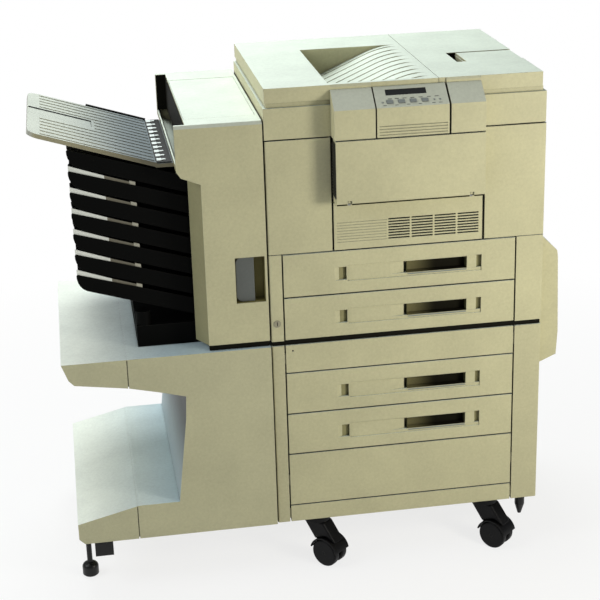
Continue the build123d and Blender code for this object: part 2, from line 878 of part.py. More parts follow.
def upper_form(x0, x1, inset, open_left, open_right):
    """The stepped outer form of the upper unit, drawn in by inset on its closed sides."""
    left = x0 - 1 if open_left and inset else x0 + inset
    right = x1 + 1 if open_right and inset else x1 - inset
    left_step = 0 if open_left else 1
    right_step = 0 if open_right else 1
    bottom = panel_bottom - (1 if inset else 0)
    shape = block(left, right, inset, case_back - inset, bottom, groove_low - inset)
    shape += block(left + left_step * lid_groove_depth, right - right_step * lid_groove_depth,
                   lid_groove_depth + inset, case_back - inset, bottom, lid_low + inset)
    shape += block(left + left_step * lid_inset, right - right_step * lid_right_inset,
                   lid_inset + inset, case_back - inset, lid_low + inset, unit_top - inset)
    return shape


def ramp_profile(drop, spread):
    """The floor of the recess: straight up from the left, then bending level near the seam."""
    low = unit_top - ramp_low_drop - drop
    bend = unit_top - ramp_bend_drop - drop
    left = left_tower_width - spread
    right = ramp_end + spread
    return low, bend, left, right


def recess_void(drop, spread, front, back, top):
    low, bend, left, right = ramp_profile(drop, spread)
    floor_line = Polyline((right, top), (left, top), (left, low), (ramp_bend_x, bend))
    slope = (bend - low) / (ramp_bend_x - left)
    curve = TangentArc((ramp_bend_x, bend), (right, unit_top - drop), tangent=(1, slope))
    close = Line((right, unit_top - drop), (right, top))
    face = make_face([floor_line, curve, close])
    return extrude(Plane.XZ.offset(-back) * face, back - front)


def upper_left_cover():
    shape = upper_form(0, top_seam, 0, False, True)
    wing = side_prism(panel_profile(0, panel_bottom), wing_left_start, panel_start - reveal)
    shape = shape + wing
    shape -= block(panel_start - reveal, top_seam + 1, -1, panel_back, upper_bottom - 1, unit_top + 1)
    top_riser = [(-1, unit_top + 1), (-1, slope_top_z), (slope_top_depth, slope_top_z),
                 (panel_back, unit_top), (panel_back, unit_top + 1)]
    shape -= side_prism(top_riser, wing_left_start, top_seam + 1)
    hollow = upper_form(0, top_seam, skin, False, True)
    hollow -= block(wing_left_start - skin, top_seam + 1, -1, panel_back + skin, upper_bottom - 2,
                    unit_top + 1)
    hollow += side_prism(panel_profile(skin, panel_bottom - 1), wing_left_start + skin,
                         panel_start - reveal - skin)
    shape -= hollow
    liner = recess_void(skin, skin, recess_front - skin, recess_back + skin, unit_top - skin / 2)
    shape += liner & upper_form(0, top_seam, 0, False, True)
    shape -= recess_void(0, 0, recess_front, recess_back, unit_top + 1)
    pitch = (recess_back - recess_front) / ramp_rib_count
    for number in range(ramp_rib_count):
        y = recess_front + (number + 0.5) * pitch - ramp_rib_width / 2
        rib = recess_void(ramp_rib_height / 2, 0, y, y + ramp_rib_width, unit_top)
        rib -= recess_void(-ramp_rib_height, -0.5, y - 1, y + ramp_rib_width + 1, unit_top + 1)
        shape += rib & block(left_tower_width, ramp_end, y, y + ramp_rib_width, groove_low - 60, unit_top)
    rest = (left_tower_width - 2 * skin, left_tower_width + skin)
    shape += block(*rest, recess_front + 50, recess_back - 50, upper_bottom,
                   unit_top - ramp_low_drop - skin / 2)
    slot_z = unit_top - ramp_low_drop + exit_slot_rise
    shape -= block(left_tower_width - 2 * skin, left_tower_width + 1, recess_front + 10, recess_back - 10,
                   slot_z, slot_z + exit_slot_height)
    return shape


lever_pin_x = unit_width - lid_right_inset - 4
lever_pin_z = unit_top - lever_thickness / 2 - 1


def upper_right_cover():
    gap = 1
    left = top_seam + gap
    wing_left = upper_seam + gap
    shape = upper_form(left, unit_width - 2, 0, True, False)
    shape -= block(left - 1, wing_left, -1, panel_back + gap, panel_bottom - 1, unit_top + 1)
    shape += side_prism(panel_profile(0, panel_bottom), wing_left, wing_right_end)
    top_riser = [(-1, unit_top + 1), (-1, slope_top_z), (slope_top_depth, slope_top_z),
                 (panel_back, unit_top), (panel_back, unit_top + 1)]
    shape -= side_prism(top_riser, left - 1, wing_right_end)
    hollow = upper_form(left, unit_width - 2, skin, True, False)
    hollow -= block(left - 2, left + skin, -100, case_back + 1, upper_bottom - 2, unit_top + 1)
    hollow -= block(left - 2, wing_left + skin, -1, panel_back + gap + skin, upper_bottom - 2, unit_top + 1)
    hollow -= block(left - 2, wing_right_end + skin, -1, panel_back + skin, slope_top_z - skin, unit_top + 1)
    hollow += side_prism(panel_profile(skin, panel_bottom - 1), wing_left + skin, wing_right_end - skin)
    shape -= hollow
    well_right = unit_width - lid_right_inset
    well = block(lever_start - finger_hole_width - skin, well_right, lever_front - skin, lever_back + skin,
                 unit_top - lever_depth - skin, unit_top - skin / 2)
    well += block(lever_start - finger_hole_width - skin, lever_start + skin, lever_front - skin,
                  lever_back + skin,
                  unit_top - finger_hole_depth - skin, unit_top - skin / 2)
    shape += well & upper_form(left, unit_width - 2, 0, True, False)
    shape -= block(lever_start - 1, unit_width, lever_front, lever_back, unit_top - lever_depth, unit_top + 1)
    shape -= block(lever_start - finger_hole_width, lever_start, lever_front, lever_back,
                   unit_top - finger_hole_depth, unit_top + 1)
    for y in (lever_front, lever_back):
        shape -= rod_y(lever_pin_x, lever_pin_z, pin_radius / 2 + pin_clearance, y - 2, y + 2)
    shape -= block(left - 1, unit_width, rear_hinge_y - ear_radius - 2, case_back + 1, panel_bottom - 1,
                   rear_hinge_z + ear_radius)
    for x in rear_ears:
        shape -= block(x - 1, x + ear_width + 1, rear_hinge_y, case_back + 1, panel_bottom - 1,
                       rear_hinge_z + 8)
        start = x + ear_width + 0.5
        shape += block(start, start + lug_width, rear_hinge_y - 4, case_back - skin / 2, rear_hinge_z - 4,
                       rear_hinge_z + ear_radius + skin)
        shape += rod_x(rear_hinge_y, rear_hinge_z, pin_radius, x, start)
    return shape


def release_lever():
    left = lever_start + 1
    right = lever_pin_x + lever_thickness / 2
    low = lever_pin_z - lever_thickness / 2
    shape = block(left, right, lever_front + 0.5, lever_back - 0.5, low, low + lever_thickness)
    shape = fillet(shape.edges().filter_by(Axis.Y).group_by(Axis.X)[-1], 1.9)
    return shape + rod_y(lever_pin_x, lever_pin_z, pin_radius / 2, lever_front - 1.5, lever_back + 1.5)


pieces["upper_left_cover"] = upper_left_cover()
pieces["upper_right_cover"] = upper_right_cover()
pieces["release_lever"] = release_lever()


# Side cover: a bulged door over the paper path between the feeder and the pedestal

def side_cover():
    x0 = unit_width + side_cover_gap
    x1 = unit_width + side_cover_reach
    top_slope = 42
    body = [(x0, side_cover_bottom), (x1 - 3, side_cover_bottom + 20), (x1, side_cover_bottom + 75),
            (x1 - 5, side_cover_top - top_slope - 14), (x1 - 7, side_cover_top - top_slope),
            (x0, side_cover_top)]
    inner = [(x0 - 1, side_cover_bottom + skin), (x1 - 2 * skin, side_cover_bottom + 20 + skin),
             (x1 - skin, side_cover_bottom + 75), (x1 - 5 - skin, side_cover_top - top_slope - 14),
             (x1 - 9 - skin, side_cover_top - top_slope - skin), (x0 - 1, side_cover_top - 1.4 * skin)]
    shape = front_prism(body, side_cover_front, side_cover_back)
    shape -= front_prism(inner, side_cover_front + skin, side_cover_back - skin)
    for level in side_ears.values():
        start = level + ear_width + 0.5
        lug = block(side_hinge_x - 4, side_hinge_x + 4, side_hinge_y - 4, side_cover_back - skin / 2, start,
                    start + lug_width)
        shape += lug + rod_z(side_hinge_x, side_hinge_y, pin_radius, level, start)
    corner = [(x0 - 1, side_cover_back - side_corner_cut), (x0 + side_corner_cut + 1, side_cover_back + 1),
              (x0 - 1, side_cover_back + 1)]
    shape -= extrude(Plane.XY.offset(side_cover_bottom - 1) * outline(corner), side_cover_span + 2)
    return shape


pieces["side_cover"] = side_cover()


# Casters, drawn with the swivel axis at the origin and the wheels towards +X

def caster_fork():
    top = floor_gap - running_gap
    shape = rod_z(0, 0, stem_radius, floor_gap - head_height, floor_gap + stem_length)
    shape += rod_z(0, 0, head_radius, top - head_height, top)
    half_web = fork_web / 2
    web = [(-head_radius + 6, top - head_height), (head_radius - 2, top - head_height),
           (caster_trail + wheel_radius - 4, wheel_radius + 12), (caster_trail + 8, wheel_radius - 8),
           (caster_trail - 8, wheel_radius - 8), (caster_trail - wheel_radius + 2, wheel_radius + 14)]
    shape += front_prism(web, -half_web, half_web)
    width = half_web + fork_side_gap + wheel_width + 1
    hood_outer = wheel_radius + hood_wall + 1.5
    hood = rod_y(caster_trail, wheel_radius, hood_outer, -width, width)
    hood -= rod_y(caster_trail, wheel_radius, hood_outer - hood_wall, -width - 1, width + 1)
    hood &= block(caster_trail - 40, caster_trail + 60, -width, width, wheel_radius + 8, wheel_radius + 60)
    shape += hood
    axle = half_web + fork_side_gap + wheel_width
    return shape + rod_y(caster_trail, wheel_radius, axle_radius, -axle, axle)


def caster_wheels():
    inner = fork_web / 2 + fork_side_gap
    wheels = []
    for side in (-1, 1):
        low, high = sorted((side * inner, side * (inner + wheel_width)))
        wheel = rod_y(caster_trail, wheel_radius, wheel_radius, low, high)
        wheel = fillet(wheel.edges().filter_by(GeomType.CIRCLE), wheel_tread_round)
        wheels.append(wheel - rod_y(caster_trail, wheel_radius, axle_radius + shaft_clearance, low - 1,
                                    high + 1))
    return wheels


def place(shape, x, y):
    return Pos(x, y, 0) * Rot(0, 0, caster_angle) * shape


for name, (x, y) in caster_places.items():
    pieces[f"caster_fork_{name}"] = place(caster_fork(), x, y)
    pieces[f"caster_wheels_{name}"] = Compound([place(wheel, x, y).solid() for wheel in caster_wheels()])


# Stand: a cabinet open at its left between an upper arm and a lower shelf

stand_left = -stand_width - dock_gap
stand_right = -dock_gap
stand_back = stand_front + stand_depth
arm_tip = stand_top - 36
stand_outline = [
    (stand_right, floor_gap), (stand_right, stand_top), (stand_left, stand_top), (stand_left + 13, arm_tip),
    (stand_left + 24, stand_top - 48), (stand_left + 137, stand_top - 65), (stand_left + 200, stand_top - 80),
    (stand_left + 255, stand_top - 95), (stand_left + 252, stand_top - 149),
    (stand_left + 234, shelf_level + 50),
    (stand_left + 228, shelf_level), (stand_left + 140, shelf_level), (stand_left + 6, shelf_level - 32),
    (stand_left + 6, floor_gap + 12), (stand_left + 18, floor_gap),
]
seam_x = -stand_seam
foot_places = ((foot_x, stand_front + foot_inset), (foot_x, stand_back - foot_inset))
bracket_x = foot_x + 14


def stand_body(inset):
    """The whole outline of the stand as one solid, drawn in by inset."""
    face = outline(stand_outline)
    if inset:
        face = offset(face, -inset, kind=Kind.INTERSECTION)
    depth = stand_depth - 2 * inset
    return extrude(Plane.XZ.offset(-(stand_back - inset)) * face, depth)


def stand_pieces():
    whole = stand_body(0)
    hollow = stand_body(skin)
    spigot = stand_body(skin) - stand_body(2 * skin)
    right_side = block(seam_x, 1, stand_front - 1, stand_back + 1, floor_gap - 1, stand_top + 1)
    cabinet = (whole - hollow) & right_side
    cabinet -= block(stand_right - skin - 1, 1, stand_front + 20, stand_back - 20, floor_gap + 20,
                     stand_top - 20)
    for z in (floor_gap + 60, stand_top - 60):
        cabinet += block(stand_right, 0, stand_back / 2 - 60, stand_back / 2 - 20, z, z + 20)
        cabinet += block(stand_right - skin, stand_right, 0, stand_back, z - 5, z + 25)
    ends = []
    middle = (shelf_level + arm_tip) / 2
    for low, high in ((middle, stand_top + 1), (floor_gap - 1, middle)):
        zone = block(stand_left - 1, seam_x - stand_seam_gap, stand_front - 1, stand_back + 1, low, high)
        end = (whole - hollow) & zone
        tongue = block(seam_x - spigot_length, seam_x + spigot_length, stand_front - 1, stand_back + 1, low,
                       high)
        ends.append(end + (spigot & tongue))
    for x, y in foot_places:
        boss = rod_z(x, y, 2 * foot_stem_radius, floor_gap, floor_gap + foot_boss_height)
        boss += block(x - 8, x + 8, y - 22, y + 22, floor_gap, floor_gap + 8)
        ends[1] += boss & whole
        ends[1] -= rod_z(x, y, foot_stem_radius + pin_clearance, floor_gap - 1,
                         floor_gap + foot_boss_height + 1)
    return cabinet, ends[0], ends[1]


def levelling_foot(x, y):
    shape = rod_z(x, y, foot_radius, 0, foot_height)
    shape = fillet(shape.edges().filter_by(GeomType.CIRCLE).sort_by(Axis.Z)[-1], foot_shoulder_round)
    shape = chamfer(shape.edges().filter_by(GeomType.CIRCLE).sort_by(Axis.Z)[0], foot_sole_edge)
    return shape + rod_z(x, y, foot_stem_radius, foot_height - 2, floor_gap + 20)


def foot_brackets():
    blocks = []
    for y in (stand_front + bracket_inset, stand_back - bracket_inset - bracket_depth):
        piece = block(bracket_x, bracket_x + bracket_width, y, y + bracket_depth, floor_gap - bracket_drop,
                      floor_gap)
        piece -= block(bracket_x + bracket_wall, bracket_x + bracket_width - bracket_wall, y + bracket_wall,
                       y + bracket_depth + 1, floor_gap - bracket_drop - 1, floor_gap - bracket_top)
        blocks.append(piece.solid())
    return Compound(blocks)


def stop_foot():
    """A pointed stop that is screwed down to the floor to keep the machine from rolling."""
    body = [(0, stop_foot_rest), (stop_foot_tip, stop_foot_rest),
            (stop_foot_radius, stop_foot_rest + stop_foot_cone),
            (stop_foot_radius, floor_gap - running_gap), (foot_stem_radius, floor_gap - running_gap),
            (foot_stem_radius, floor_gap + stem_length), (0, floor_gap + stem_length)]
    shape = revolve(Plane.XZ * outline(body), Axis.Z)
    return Pos(stop_foot_x, stop_foot_y, 0) * shape


pieces["stand_cabinet"], pieces["stand_upper_end"], pieces["stand_lower_end"] = stand_pieces()
pieces["levelling_foot_front"] = levelling_foot(*foot_places[0])
pieces["levelling_foot_rear"] = levelling_foot(*foot_places[1])
pieces["foot_brackets"] = foot_brackets()
pieces["stop_foot"] = stop_foot()


# Sorter housing, with its lid, its latch and the dark rack behind it

sorter_right = -sorter_gap
body_left = sorter_right - sorter_body_width
head_left = sorter_right - sorter_head_width
sorter_outline = [
    (sorter_right, sorter_bottom), (sorter_right, sorter_top), (head_left, sorter_top),
    (head_left, head_bottom), (head_left + 9, head_bottom - 13), (body_left, head_bottom - 29),
    (body_left, sorter_bottom),
]
rack_front = sorter_pillar + rack_inset
rack_back = sorter_depth - rack_front
rack_left = body_left + 4
rack_right = sorter_right - skin - 4
lid_plate_thickness = 4
lid_pin_y = lid_plate_back - 2
lid_pin_z = sorter_top - lid_plate_thickness / 2
latch_pin_x = latch_right - 2 * latch_pin_radius
latch_front = 8
latch_pin_y = latch_front + latch_thickness / 2


def sorter_housing():
    shape = front_prism(sorter_outline, 0, sorter_depth)
    shape = chamfer(shape.edges().filter_by(Axis.X).group_by(Axis.Z)[-1].sort_by(Axis.Y)[0], 6)
    inner = [(sorter_right - skin, sorter_bottom - 1), (sorter_right - skin, sorter_top - 3 * skin),
             (head_left + skin, sorter_top - 3 * skin), (head_left + skin, head_bottom + 1),
             (head_left + 11, head_bottom - 9), (body_left + skin, head_bottom - 26),
             (body_left + skin, sorter_bottom - 1)]
    cheek = [(body_left + 1, cheek_front), (body_left - cheek_reach, sorter_pillar),
             (body_left - cheek_reach + 1.2 * skin, sorter_pillar), (body_left + 1, cheek_front + 2 * skin)]
    shape += extrude(Plane.XY.offset(sorter_bottom) * outline(cheek), head_bottom - 14 - sorter_bottom)
    shape -= front_prism(inner, skin, sorter_depth - skin)
    shape -= block(body_left - 1, body_left + skin + 1, sorter_pillar, sorter_depth - sorter_pillar,
                   sorter_bottom - 1, head_bottom - 24)
    shape -= block(head_left - 1, body_left + 1, sorter_pillar, sorter_depth - sorter_pillar,
                   head_bottom + 12, sorter_top - 30)
    shape -= block(head_left - 1, lid_plate_left - 2, 4 * skin, sorter_depth - 4 * skin, head_bottom + 12,
                   sorter_top + 1)
    shape -= block(lid_plate_left - 0.5, lid_plate_right + 0.5, lid_plate_front - 0.5, lid_plate_back + 1.2,
                   sorter_top - lid_plate_thickness - running_gap, sorter_top + 1)
    shape -= block(lid_plate_left - 0.5, lid_plate_right + 0.5, lid_plate_back - 8, lid_plate_back + 1.2,
                   sorter_top - lid_plate_thickness - 2, sorter_top)
    shape -= rod_x(lid_pin_y, lid_pin_z, pin_radius / 2 + pin_clearance, lid_plate_left - 5,
                   lid_plate_right + 5)
    liner = block(grip_left - skin, sorter_right, 0, grip_depth + skin, grip_bottom - skin, grip_top + skin)
    shape += liner
    shape -= block(grip_left, grip_right, -1, grip_depth, grip_bottom, grip_top)
    shape -= rod_z(latch_pin_x, latch_pin_y, latch_pin_radius + pin_clearance, grip_bottom - 2, grip_top + 2)
    return shape


def sorter_lid():
    shape = block(lid_plate_left, lid_plate_right, lid_plate_front, lid_plate_back,
                  sorter_top - lid_plate_thickness, sorter_top)
    shape = fillet(shape.edges().filter_by(Axis.X).group_by(Axis.Y)[-1], 1.5)
    return shape + rod_x(lid_pin_y, lid_pin_z, pin_radius / 2, lid_plate_left - 4, lid_plate_right + 4)


def sorter_latch():
    low = grip_bottom + 1
    high = grip_top - 1
    paddle = [(latch_left, low), (latch_right, low), (latch_right, high), (latch_left, high)]
    shape = front_prism(paddle, latch_front, latch_front + latch_thickness)
    edges = shape.edges().filter_by(Axis.Y).group_by(Axis.X)[0]
    shape = fillet(edges, latch_corner_round)
    return shape + rod_z(latch_pin_x, latch_pin_y, latch_pin_radius, grip_bottom - 1.5, grip_top + 1.5)


def bin_line(number, x):
    """Height of the top rim of one bin at x."""
    return bin_tip_z - number * bin_pitch - (x - bin_tip_x) * math.tan(math.radians(bin_slope))


def sorter_rack():
    top = sorter_top - 40
    shape = block(rack_left, rack_right, rack_front, rack_back, sorter_bottom, top)
    shape -= block(rack_left + rack_wall, rack_right - rack_wall, rack_front + rack_wall,
                   rack_back - rack_wall,
                   sorter_bottom + rack_wall, top - rack_wall)
    for number in range(bin_count):
        z = bin_line(number, rack_left)
        shape -= block(rack_left - 1, rack_left + rack_wall + 1, bin_front + 20, bin_back - 20, z - 14, z + 2)
    base_bottom = stand_top + running_gap
    base_back = sorter_depth - base_front
    shape += block(base_left, rack_left + 20, base_front, base_back, base_bottom, base_bottom + base_height)
    shape += block(rack_left, rack_right, base_front, base_back, base_bottom, sorter_bottom + rack_wall)
    shape -= block(base_left + rack_wall, rack_left - rack_wall, base_front + rack_wall,
                   base_back - rack_wall,
                   base_bottom - 1, base_bottom + base_height - rack_wall)
    post_x = base_left + post_radius
    post = rod_z(post_x, base_front + post_radius, post_radius, base_bottom + base_height - 1,
                 base_bottom + base_height + post_height)
    shape += post
    shape += block(rack_right - 1, sorter_right - skin, rack_front + 40, rack_back - 40, sorter_bottom + 20,
                   sorter_bottom + 60)
    shape += block(rack_right - 1, sorter_right - skin, rack_front + 40, rack_back - 40, top - 60, top - 20)
    return shape


def sorter_bin(number):
    """One sloping bin: a floor between two side blades, with a notch for the hand at its tip."""
    slope = math.tan(math.radians(bin_slope))
    root = rack_left
    tip = bin_tip_x
    top_tip = bin_line(number, tip)
    top_root = bin_line(number, root)
    blade = [(tip + 3, top_tip - 3 * slope)] + [(tip + across, top_tip - down) for across, down in bin_heel]
    blade += [(root, top_root - bin_blade), (root, top_root)]
    shape = front_prism(blade, bin_front, bin_back)
    trough = [(tip - 1, top_tip + 1 + slope)] + [(tip + across, top_tip - down) for across,
                                                 down in bin_heel_inside]
    trough += [(root + 1, top_root - bin_blade + bin_floor), (root + 1, top_root + 1)]
    shape -= front_prism(trough, bin_front + skin, bin_back - skin)
    middle = (bin_front + bin_back) / 2
    shape -= block(tip - 1, tip + bin_notch_length, middle - bin_notch_width / 2,
                   middle + bin_notch_width / 2,
                   top_tip - 2 * bin_blade, top_tip + 1)
    return shape


pieces["sorter_housing"] = sorter_housing()
pieces["sorter_lid"] = sorter_lid()
pieces["sorter_latch"] = sorter_latch()
pieces["sorter_rack"] = sorter_rack()
pieces["sorter_bins"] = Compound([sorter_bin(number).solid() for number in range(bin_count)])


# Output tray on top of the sorter, drawn flat with its root at the origin and then tilted

tray_run = (tray_root_x - tray_tip_x) / math.cos(math.radians(tray_slope))
tray_pose = Pos(tray_root_x, 0, tray_root_z) * Rot(0, tray_slope, 0)
extension_back = extension_front + extension_width


def output_tray():
    shape = block(-tray_run, 0, bin_front, tray_back, -tray_thickness, 0)
    shape = fillet(shape.edges().filter_by(Axis.Z).group_by(Axis.X)[0], tray_corner)
    pitch = (tray_back - bin_front) / tray_rib_count
    for number in range(tray_rib_count):
        y = bin_front + (number + 0.5) * pitch
        near_extension = extension_front - tray_rib_width < y < extension_back + tray_rib_width
        start = -tray_run + (extension_length + 6 if near_extension else tray_corner)
        shape += block(start, -6, y - tray_rib_width / 2, y + tray_rib_width / 2, -1, tray_rib_height)
    shape -= block(-tray_run - 1, -tray_run + extension_length, extension_front - running_gap,
                   extension_back + 3, -extension_thickness - running_gap, tray_rib_height + 1)
    shape = tray_pose * shape
    root_top = tray_root_z
    flange = block(tray_root_x - skin, head_left, bin_front, tray_back, root_top - tray_root_thickness - 2,
                   root_top - 2)
    return shape + flange


def tray_extension():
    shape = block(-tray_run, -tray_run + extension_length - 1, extension_front, extension_back,
                  -extension_thickness, 0)
    shape = fillet(shape.edges().filter_by(Axis.Z).group_by(Axis.X)[0], 4)
    return tray_pose * shape


pieces["output_tray"] = output_tray()
pieces["tray_extension"] = tray_extension()


# The origin goes to the middle of the base of the whole machine's box

whole_box = Compound([solid for piece in pieces.values() for solid in piece.solids()]).bounding_box()
origin = Pos(-whole_box.center().X, -whole_box.center().Y, -whole_box.min.Z)
for name, piece in pieces.items():
    export_step(origin * piece, f"parts/{name}.step")
print("origin shift", origin.position, "box", whole_box.size, "pieces", len(pieces))
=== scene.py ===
import math

import bmesh
import bpy
from mathutils import Matrix, Vector


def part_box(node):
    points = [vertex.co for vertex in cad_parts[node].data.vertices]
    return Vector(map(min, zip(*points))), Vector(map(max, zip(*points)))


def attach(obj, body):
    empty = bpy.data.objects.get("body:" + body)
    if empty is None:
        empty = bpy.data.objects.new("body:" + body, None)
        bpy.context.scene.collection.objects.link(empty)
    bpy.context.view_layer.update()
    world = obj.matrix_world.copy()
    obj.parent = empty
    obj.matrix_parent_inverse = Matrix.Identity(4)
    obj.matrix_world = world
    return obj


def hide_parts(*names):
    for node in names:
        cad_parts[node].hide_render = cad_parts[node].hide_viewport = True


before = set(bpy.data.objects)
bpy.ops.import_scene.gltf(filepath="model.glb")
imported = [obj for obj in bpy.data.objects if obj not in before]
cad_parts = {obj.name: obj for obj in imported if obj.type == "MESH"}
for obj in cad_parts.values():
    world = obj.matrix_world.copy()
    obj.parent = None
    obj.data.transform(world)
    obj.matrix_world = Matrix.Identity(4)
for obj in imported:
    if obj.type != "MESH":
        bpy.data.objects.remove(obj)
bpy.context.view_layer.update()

# The studio: a pale seamless floor, a soft lamp low at the front right that shades the covers from
# right to left, a cooler one above and behind that bleaches the tops, and one at the left for the
# shelves of the stand.

scene = bpy.context.scene
scene.view_settings.view_transform = "Standard"
left_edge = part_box("pedestal_rear_cover")[0].x
front_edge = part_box("pedestal_cabinet")[0].y


def spot(x, y, z):
    """A place in the frame, from millimetres off the main unit's left side, front face and the floor."""
    return Vector((left_edge + x / 1000, front_edge + y / 1000, z / 1000))


def nodes_of(material):
    """The node tree of a material, emptied except for its output."""
    material.use_nodes = True
    tree = material.node_tree
    tree.nodes.clear()
    return tree, tree.nodes.new("ShaderNodeOutputMaterial")


def add(tree, kind, **settings):
    """A new shader node with some of its sockets set."""
    node = tree.nodes.new(kind)
    for key, value in settings.items():
        node.inputs[key.replace("_", " ")].default_value = value
    return node


floor_size = 60.0
shade_reach, shade_end, shade_glow = 0.6, 1.9, 0.78
floor_mesh = bpy.data.meshes.new("studio_floor")
grid = bmesh.new()
bmesh.ops.create_grid(grid, x_segments=1, y_segments=1, size=floor_size / 2)
grid.to_mesh(floor_mesh)
grid.free()
floor = bpy.data.objects.new("studio_floor", floor_mesh)
scene.collection.objects.link(floor)
floor_paint = bpy.data.materials.new("studio_floor")
tree, output = nodes_of(floor_paint)
matt = add(tree, "ShaderNodeBsdfDiffuse", Color=(0.86, 0.86, 0.85, 1))
glow = add(tree, "ShaderNodeEmission", Color=(1, 1, 1, 1))
where = add(tree, "ShaderNodeTexCoord")
reach = add(tree, "ShaderNodeVectorMath")
reach.operation = "LENGTH"
near_to_far = add(tree, "ShaderNodeMapRange", From_Min=shade_reach, From_Max=shade_end, To_Min=shade_glow,
                  To_Max=1.0)
ray = add(tree, "ShaderNodeLightPath")
seen = add(tree, "ShaderNodeMath")
seen.operation = "MAXIMUM"
share = add(tree, "ShaderNodeMath")
share.operation = "MULTIPLY"
mix = add(tree, "ShaderNodeMixShader")
tree.links.new(where.outputs["Object"], reach.inputs[0])
tree.links.new(reach.outputs["Value"], near_to_far.inputs["Value"])
tree.links.new(ray.outputs["Is Camera Ray"], seen.inputs[0])
tree.links.new(ray.outputs["Is Glossy Ray"], seen.inputs[1])
tree.links.new(seen.outputs[0], share.inputs[0])
tree.links.new(near_to_far.outputs["Result"], share.inputs[1])
tree.links.new(share.outputs[0], mix.inputs["Fac"])
tree.links.new(matt.outputs[0], mix.inputs[1])
tree.links.new(glow.outputs[0], mix.inputs[2])
tree.links.new(mix.outputs[0], output.inputs["Surface"])
floor.data.materials.append(floor_paint)

world = bpy.data.worlds.new("studio_room")
scene.world = world
world.use_nodes = True
tree = world.node_tree
tree.nodes.clear()
room_light = add(tree, "ShaderNodeBackground", Color=(0.93, 0.97, 1.0, 1), Strength=0.265)
white_room = add(tree, "ShaderNodeBackground", Color=(1, 1, 1, 1), Strength=1.0)
ray = add(tree, "ShaderNodeLightPath")
mix = add(tree, "ShaderNodeMixShader")
output = add(tree, "ShaderNodeOutputWorld")
tree.links.new(ray.outputs["Is Camera Ray"], mix.inputs["Fac"])
tree.links.new(room_light.outputs[0], mix.inputs[1])
tree.links.new(white_room.outputs[0], mix.inputs[2])
tree.links.new(mix.outputs[0], output.inputs["Surface"])


def soft_lamp(name, place, target, size, power, colour):
    """A square area lamp that faces its target."""
    data = bpy.data.lights.new(name, "AREA")
    data.size = size
    data.energy = power
    data.color = colour
    lamp = bpy.data.objects.new(name, data)
    scene.collection.objects.link(lamp)
    lamp.location = place
    lamp.rotation_mode = "QUATERNION"
    lamp.rotation_quaternion = (target - place).to_track_quat("-Z", "Y")


soft_lamp("front_right_lamp", spot(1150, -1020, 960), spot(300, 0, 720), 0.42, 12.4, (1.0, 0.97, 0.86))
soft_lamp("top_lamp", spot(-250, 1400, 2700), spot(100, 250, 800), 1.6, 46, (0.95, 1.0, 1.0))
soft_lamp("left_lamp", spot(-2000, -250, 1850), spot(-300, 200, 350), 1.4, 25, (0.95, 0.99, 1.0))


# The camera: where the photograph was taken from, worked out from the machine's own straight
# edges, standing at the left of the machine and looking a little down.

camera_place = spot(-383, -2938, 1760)
camera_turn = math.radians(8.64)
camera_dip = math.radians(20.67)
camera_roll = math.radians(1.73)
picture_pixels = 600
focal_pixels = 1515.5
ahead = Vector((math.sin(camera_turn) * math.cos(camera_dip), math.cos(camera_turn) * math.cos(camera_dip),
                -math.sin(camera_dip)))
level_right = Vector((math.cos(camera_turn), -math.sin(camera_turn), 0))
level_up = level_right.cross(ahead)
to_right = level_right * math.cos(camera_roll) - level_up * math.sin(camera_roll)
to_up = level_right * math.sin(camera_roll) + level_up * math.cos(camera_roll)
camera_data = bpy.data.cameras.new("photo_camera")
camera_data.sensor_width = 36
camera_data.lens = camera_data.sensor_width * focal_pixels / picture_pixels
camera = bpy.data.objects.new("photo_camera", camera_data)
scene.collection.objects.link(camera)
camera_axes = Matrix((to_right, to_up, -ahead)).transposed().to_4x4()
camera.matrix_world = Matrix.Translation(camera_place) @ camera_axes
scene.camera = camera


# The putty plastic of the covers: a spark-eroded grain over a tint set by which way a face looks: putty
# on the upright faces, greyer on the slopes and painted pale on the tops as lit from above, with a
# painted highlight along its edges and painted shade in its narrow gaps.

def new_group(name, inputs, outputs):
    """A shader node group with named sockets, and its two end nodes."""
    group = bpy.data.node_groups.new(name, "ShaderNodeTree")
    for label, kind, default in inputs:
        socket = group.interface.new_socket(label, in_out="INPUT", socket_type=kind)
        socket.default_value = default
    for label, kind in outputs:
        group.interface.new_socket(label, in_out="OUTPUT", socket_type=kind)
    return group, group.nodes.new("NodeGroupInput"), group.nodes.new("NodeGroupOutput")


value_kind, colour_kind, vector_kind = "NodeSocketFloat", "NodeSocketColor", "NodeSocketVector"
colour_a, colour_b, colour_out = 6, 7, 2
grains_per_metre = 900.0

grain, asked, given = new_group(
    "moulded_grain", [("Grain Size", value_kind, 1.0), ("Mottle", value_kind, 0.1)],
    [("Height", value_kind), ("Shade", value_kind)])
where = add(grain, "ShaderNodeTexCoord")
fine = add(grain, "ShaderNodeTexNoise", Detail=3.0, Roughness=0.65)
fine_scale = add(grain, "ShaderNodeMath")
fine_scale.operation = "DIVIDE"
fine_scale.inputs[0].default_value = grains_per_metre
cloud = add(grain, "ShaderNodeTexNoise", Scale=9.0, Detail=4.0, Roughness=0.6)
speck = add(grain, "ShaderNodeTexNoise", Scale=160.0, Detail=3.0, Roughness=0.75)
both = add(grain, "ShaderNodeMath")
both.operation = "ADD"
centred = add(grain, "ShaderNodeMath")
centred.operation = "SUBTRACT"
centred.inputs[1].default_value = 1.0
strength = add(grain, "ShaderNodeMath")
strength.operation = "MULTIPLY_ADD"
strength.inputs[2].default_value = 1.0
link = grain.links.new
link(asked.outputs["Grain Size"], fine_scale.inputs[1])
link(where.outputs["Object"], fine.inputs["Vector"])
link(where.outputs["Object"], cloud.inputs["Vector"])
link(where.outputs["Object"], speck.inputs["Vector"])
link(fine_scale.outputs[0], fine.inputs["Scale"])
link(cloud.outputs["Fac"], both.inputs[0])
link(speck.outputs["Fac"], both.inputs[1])
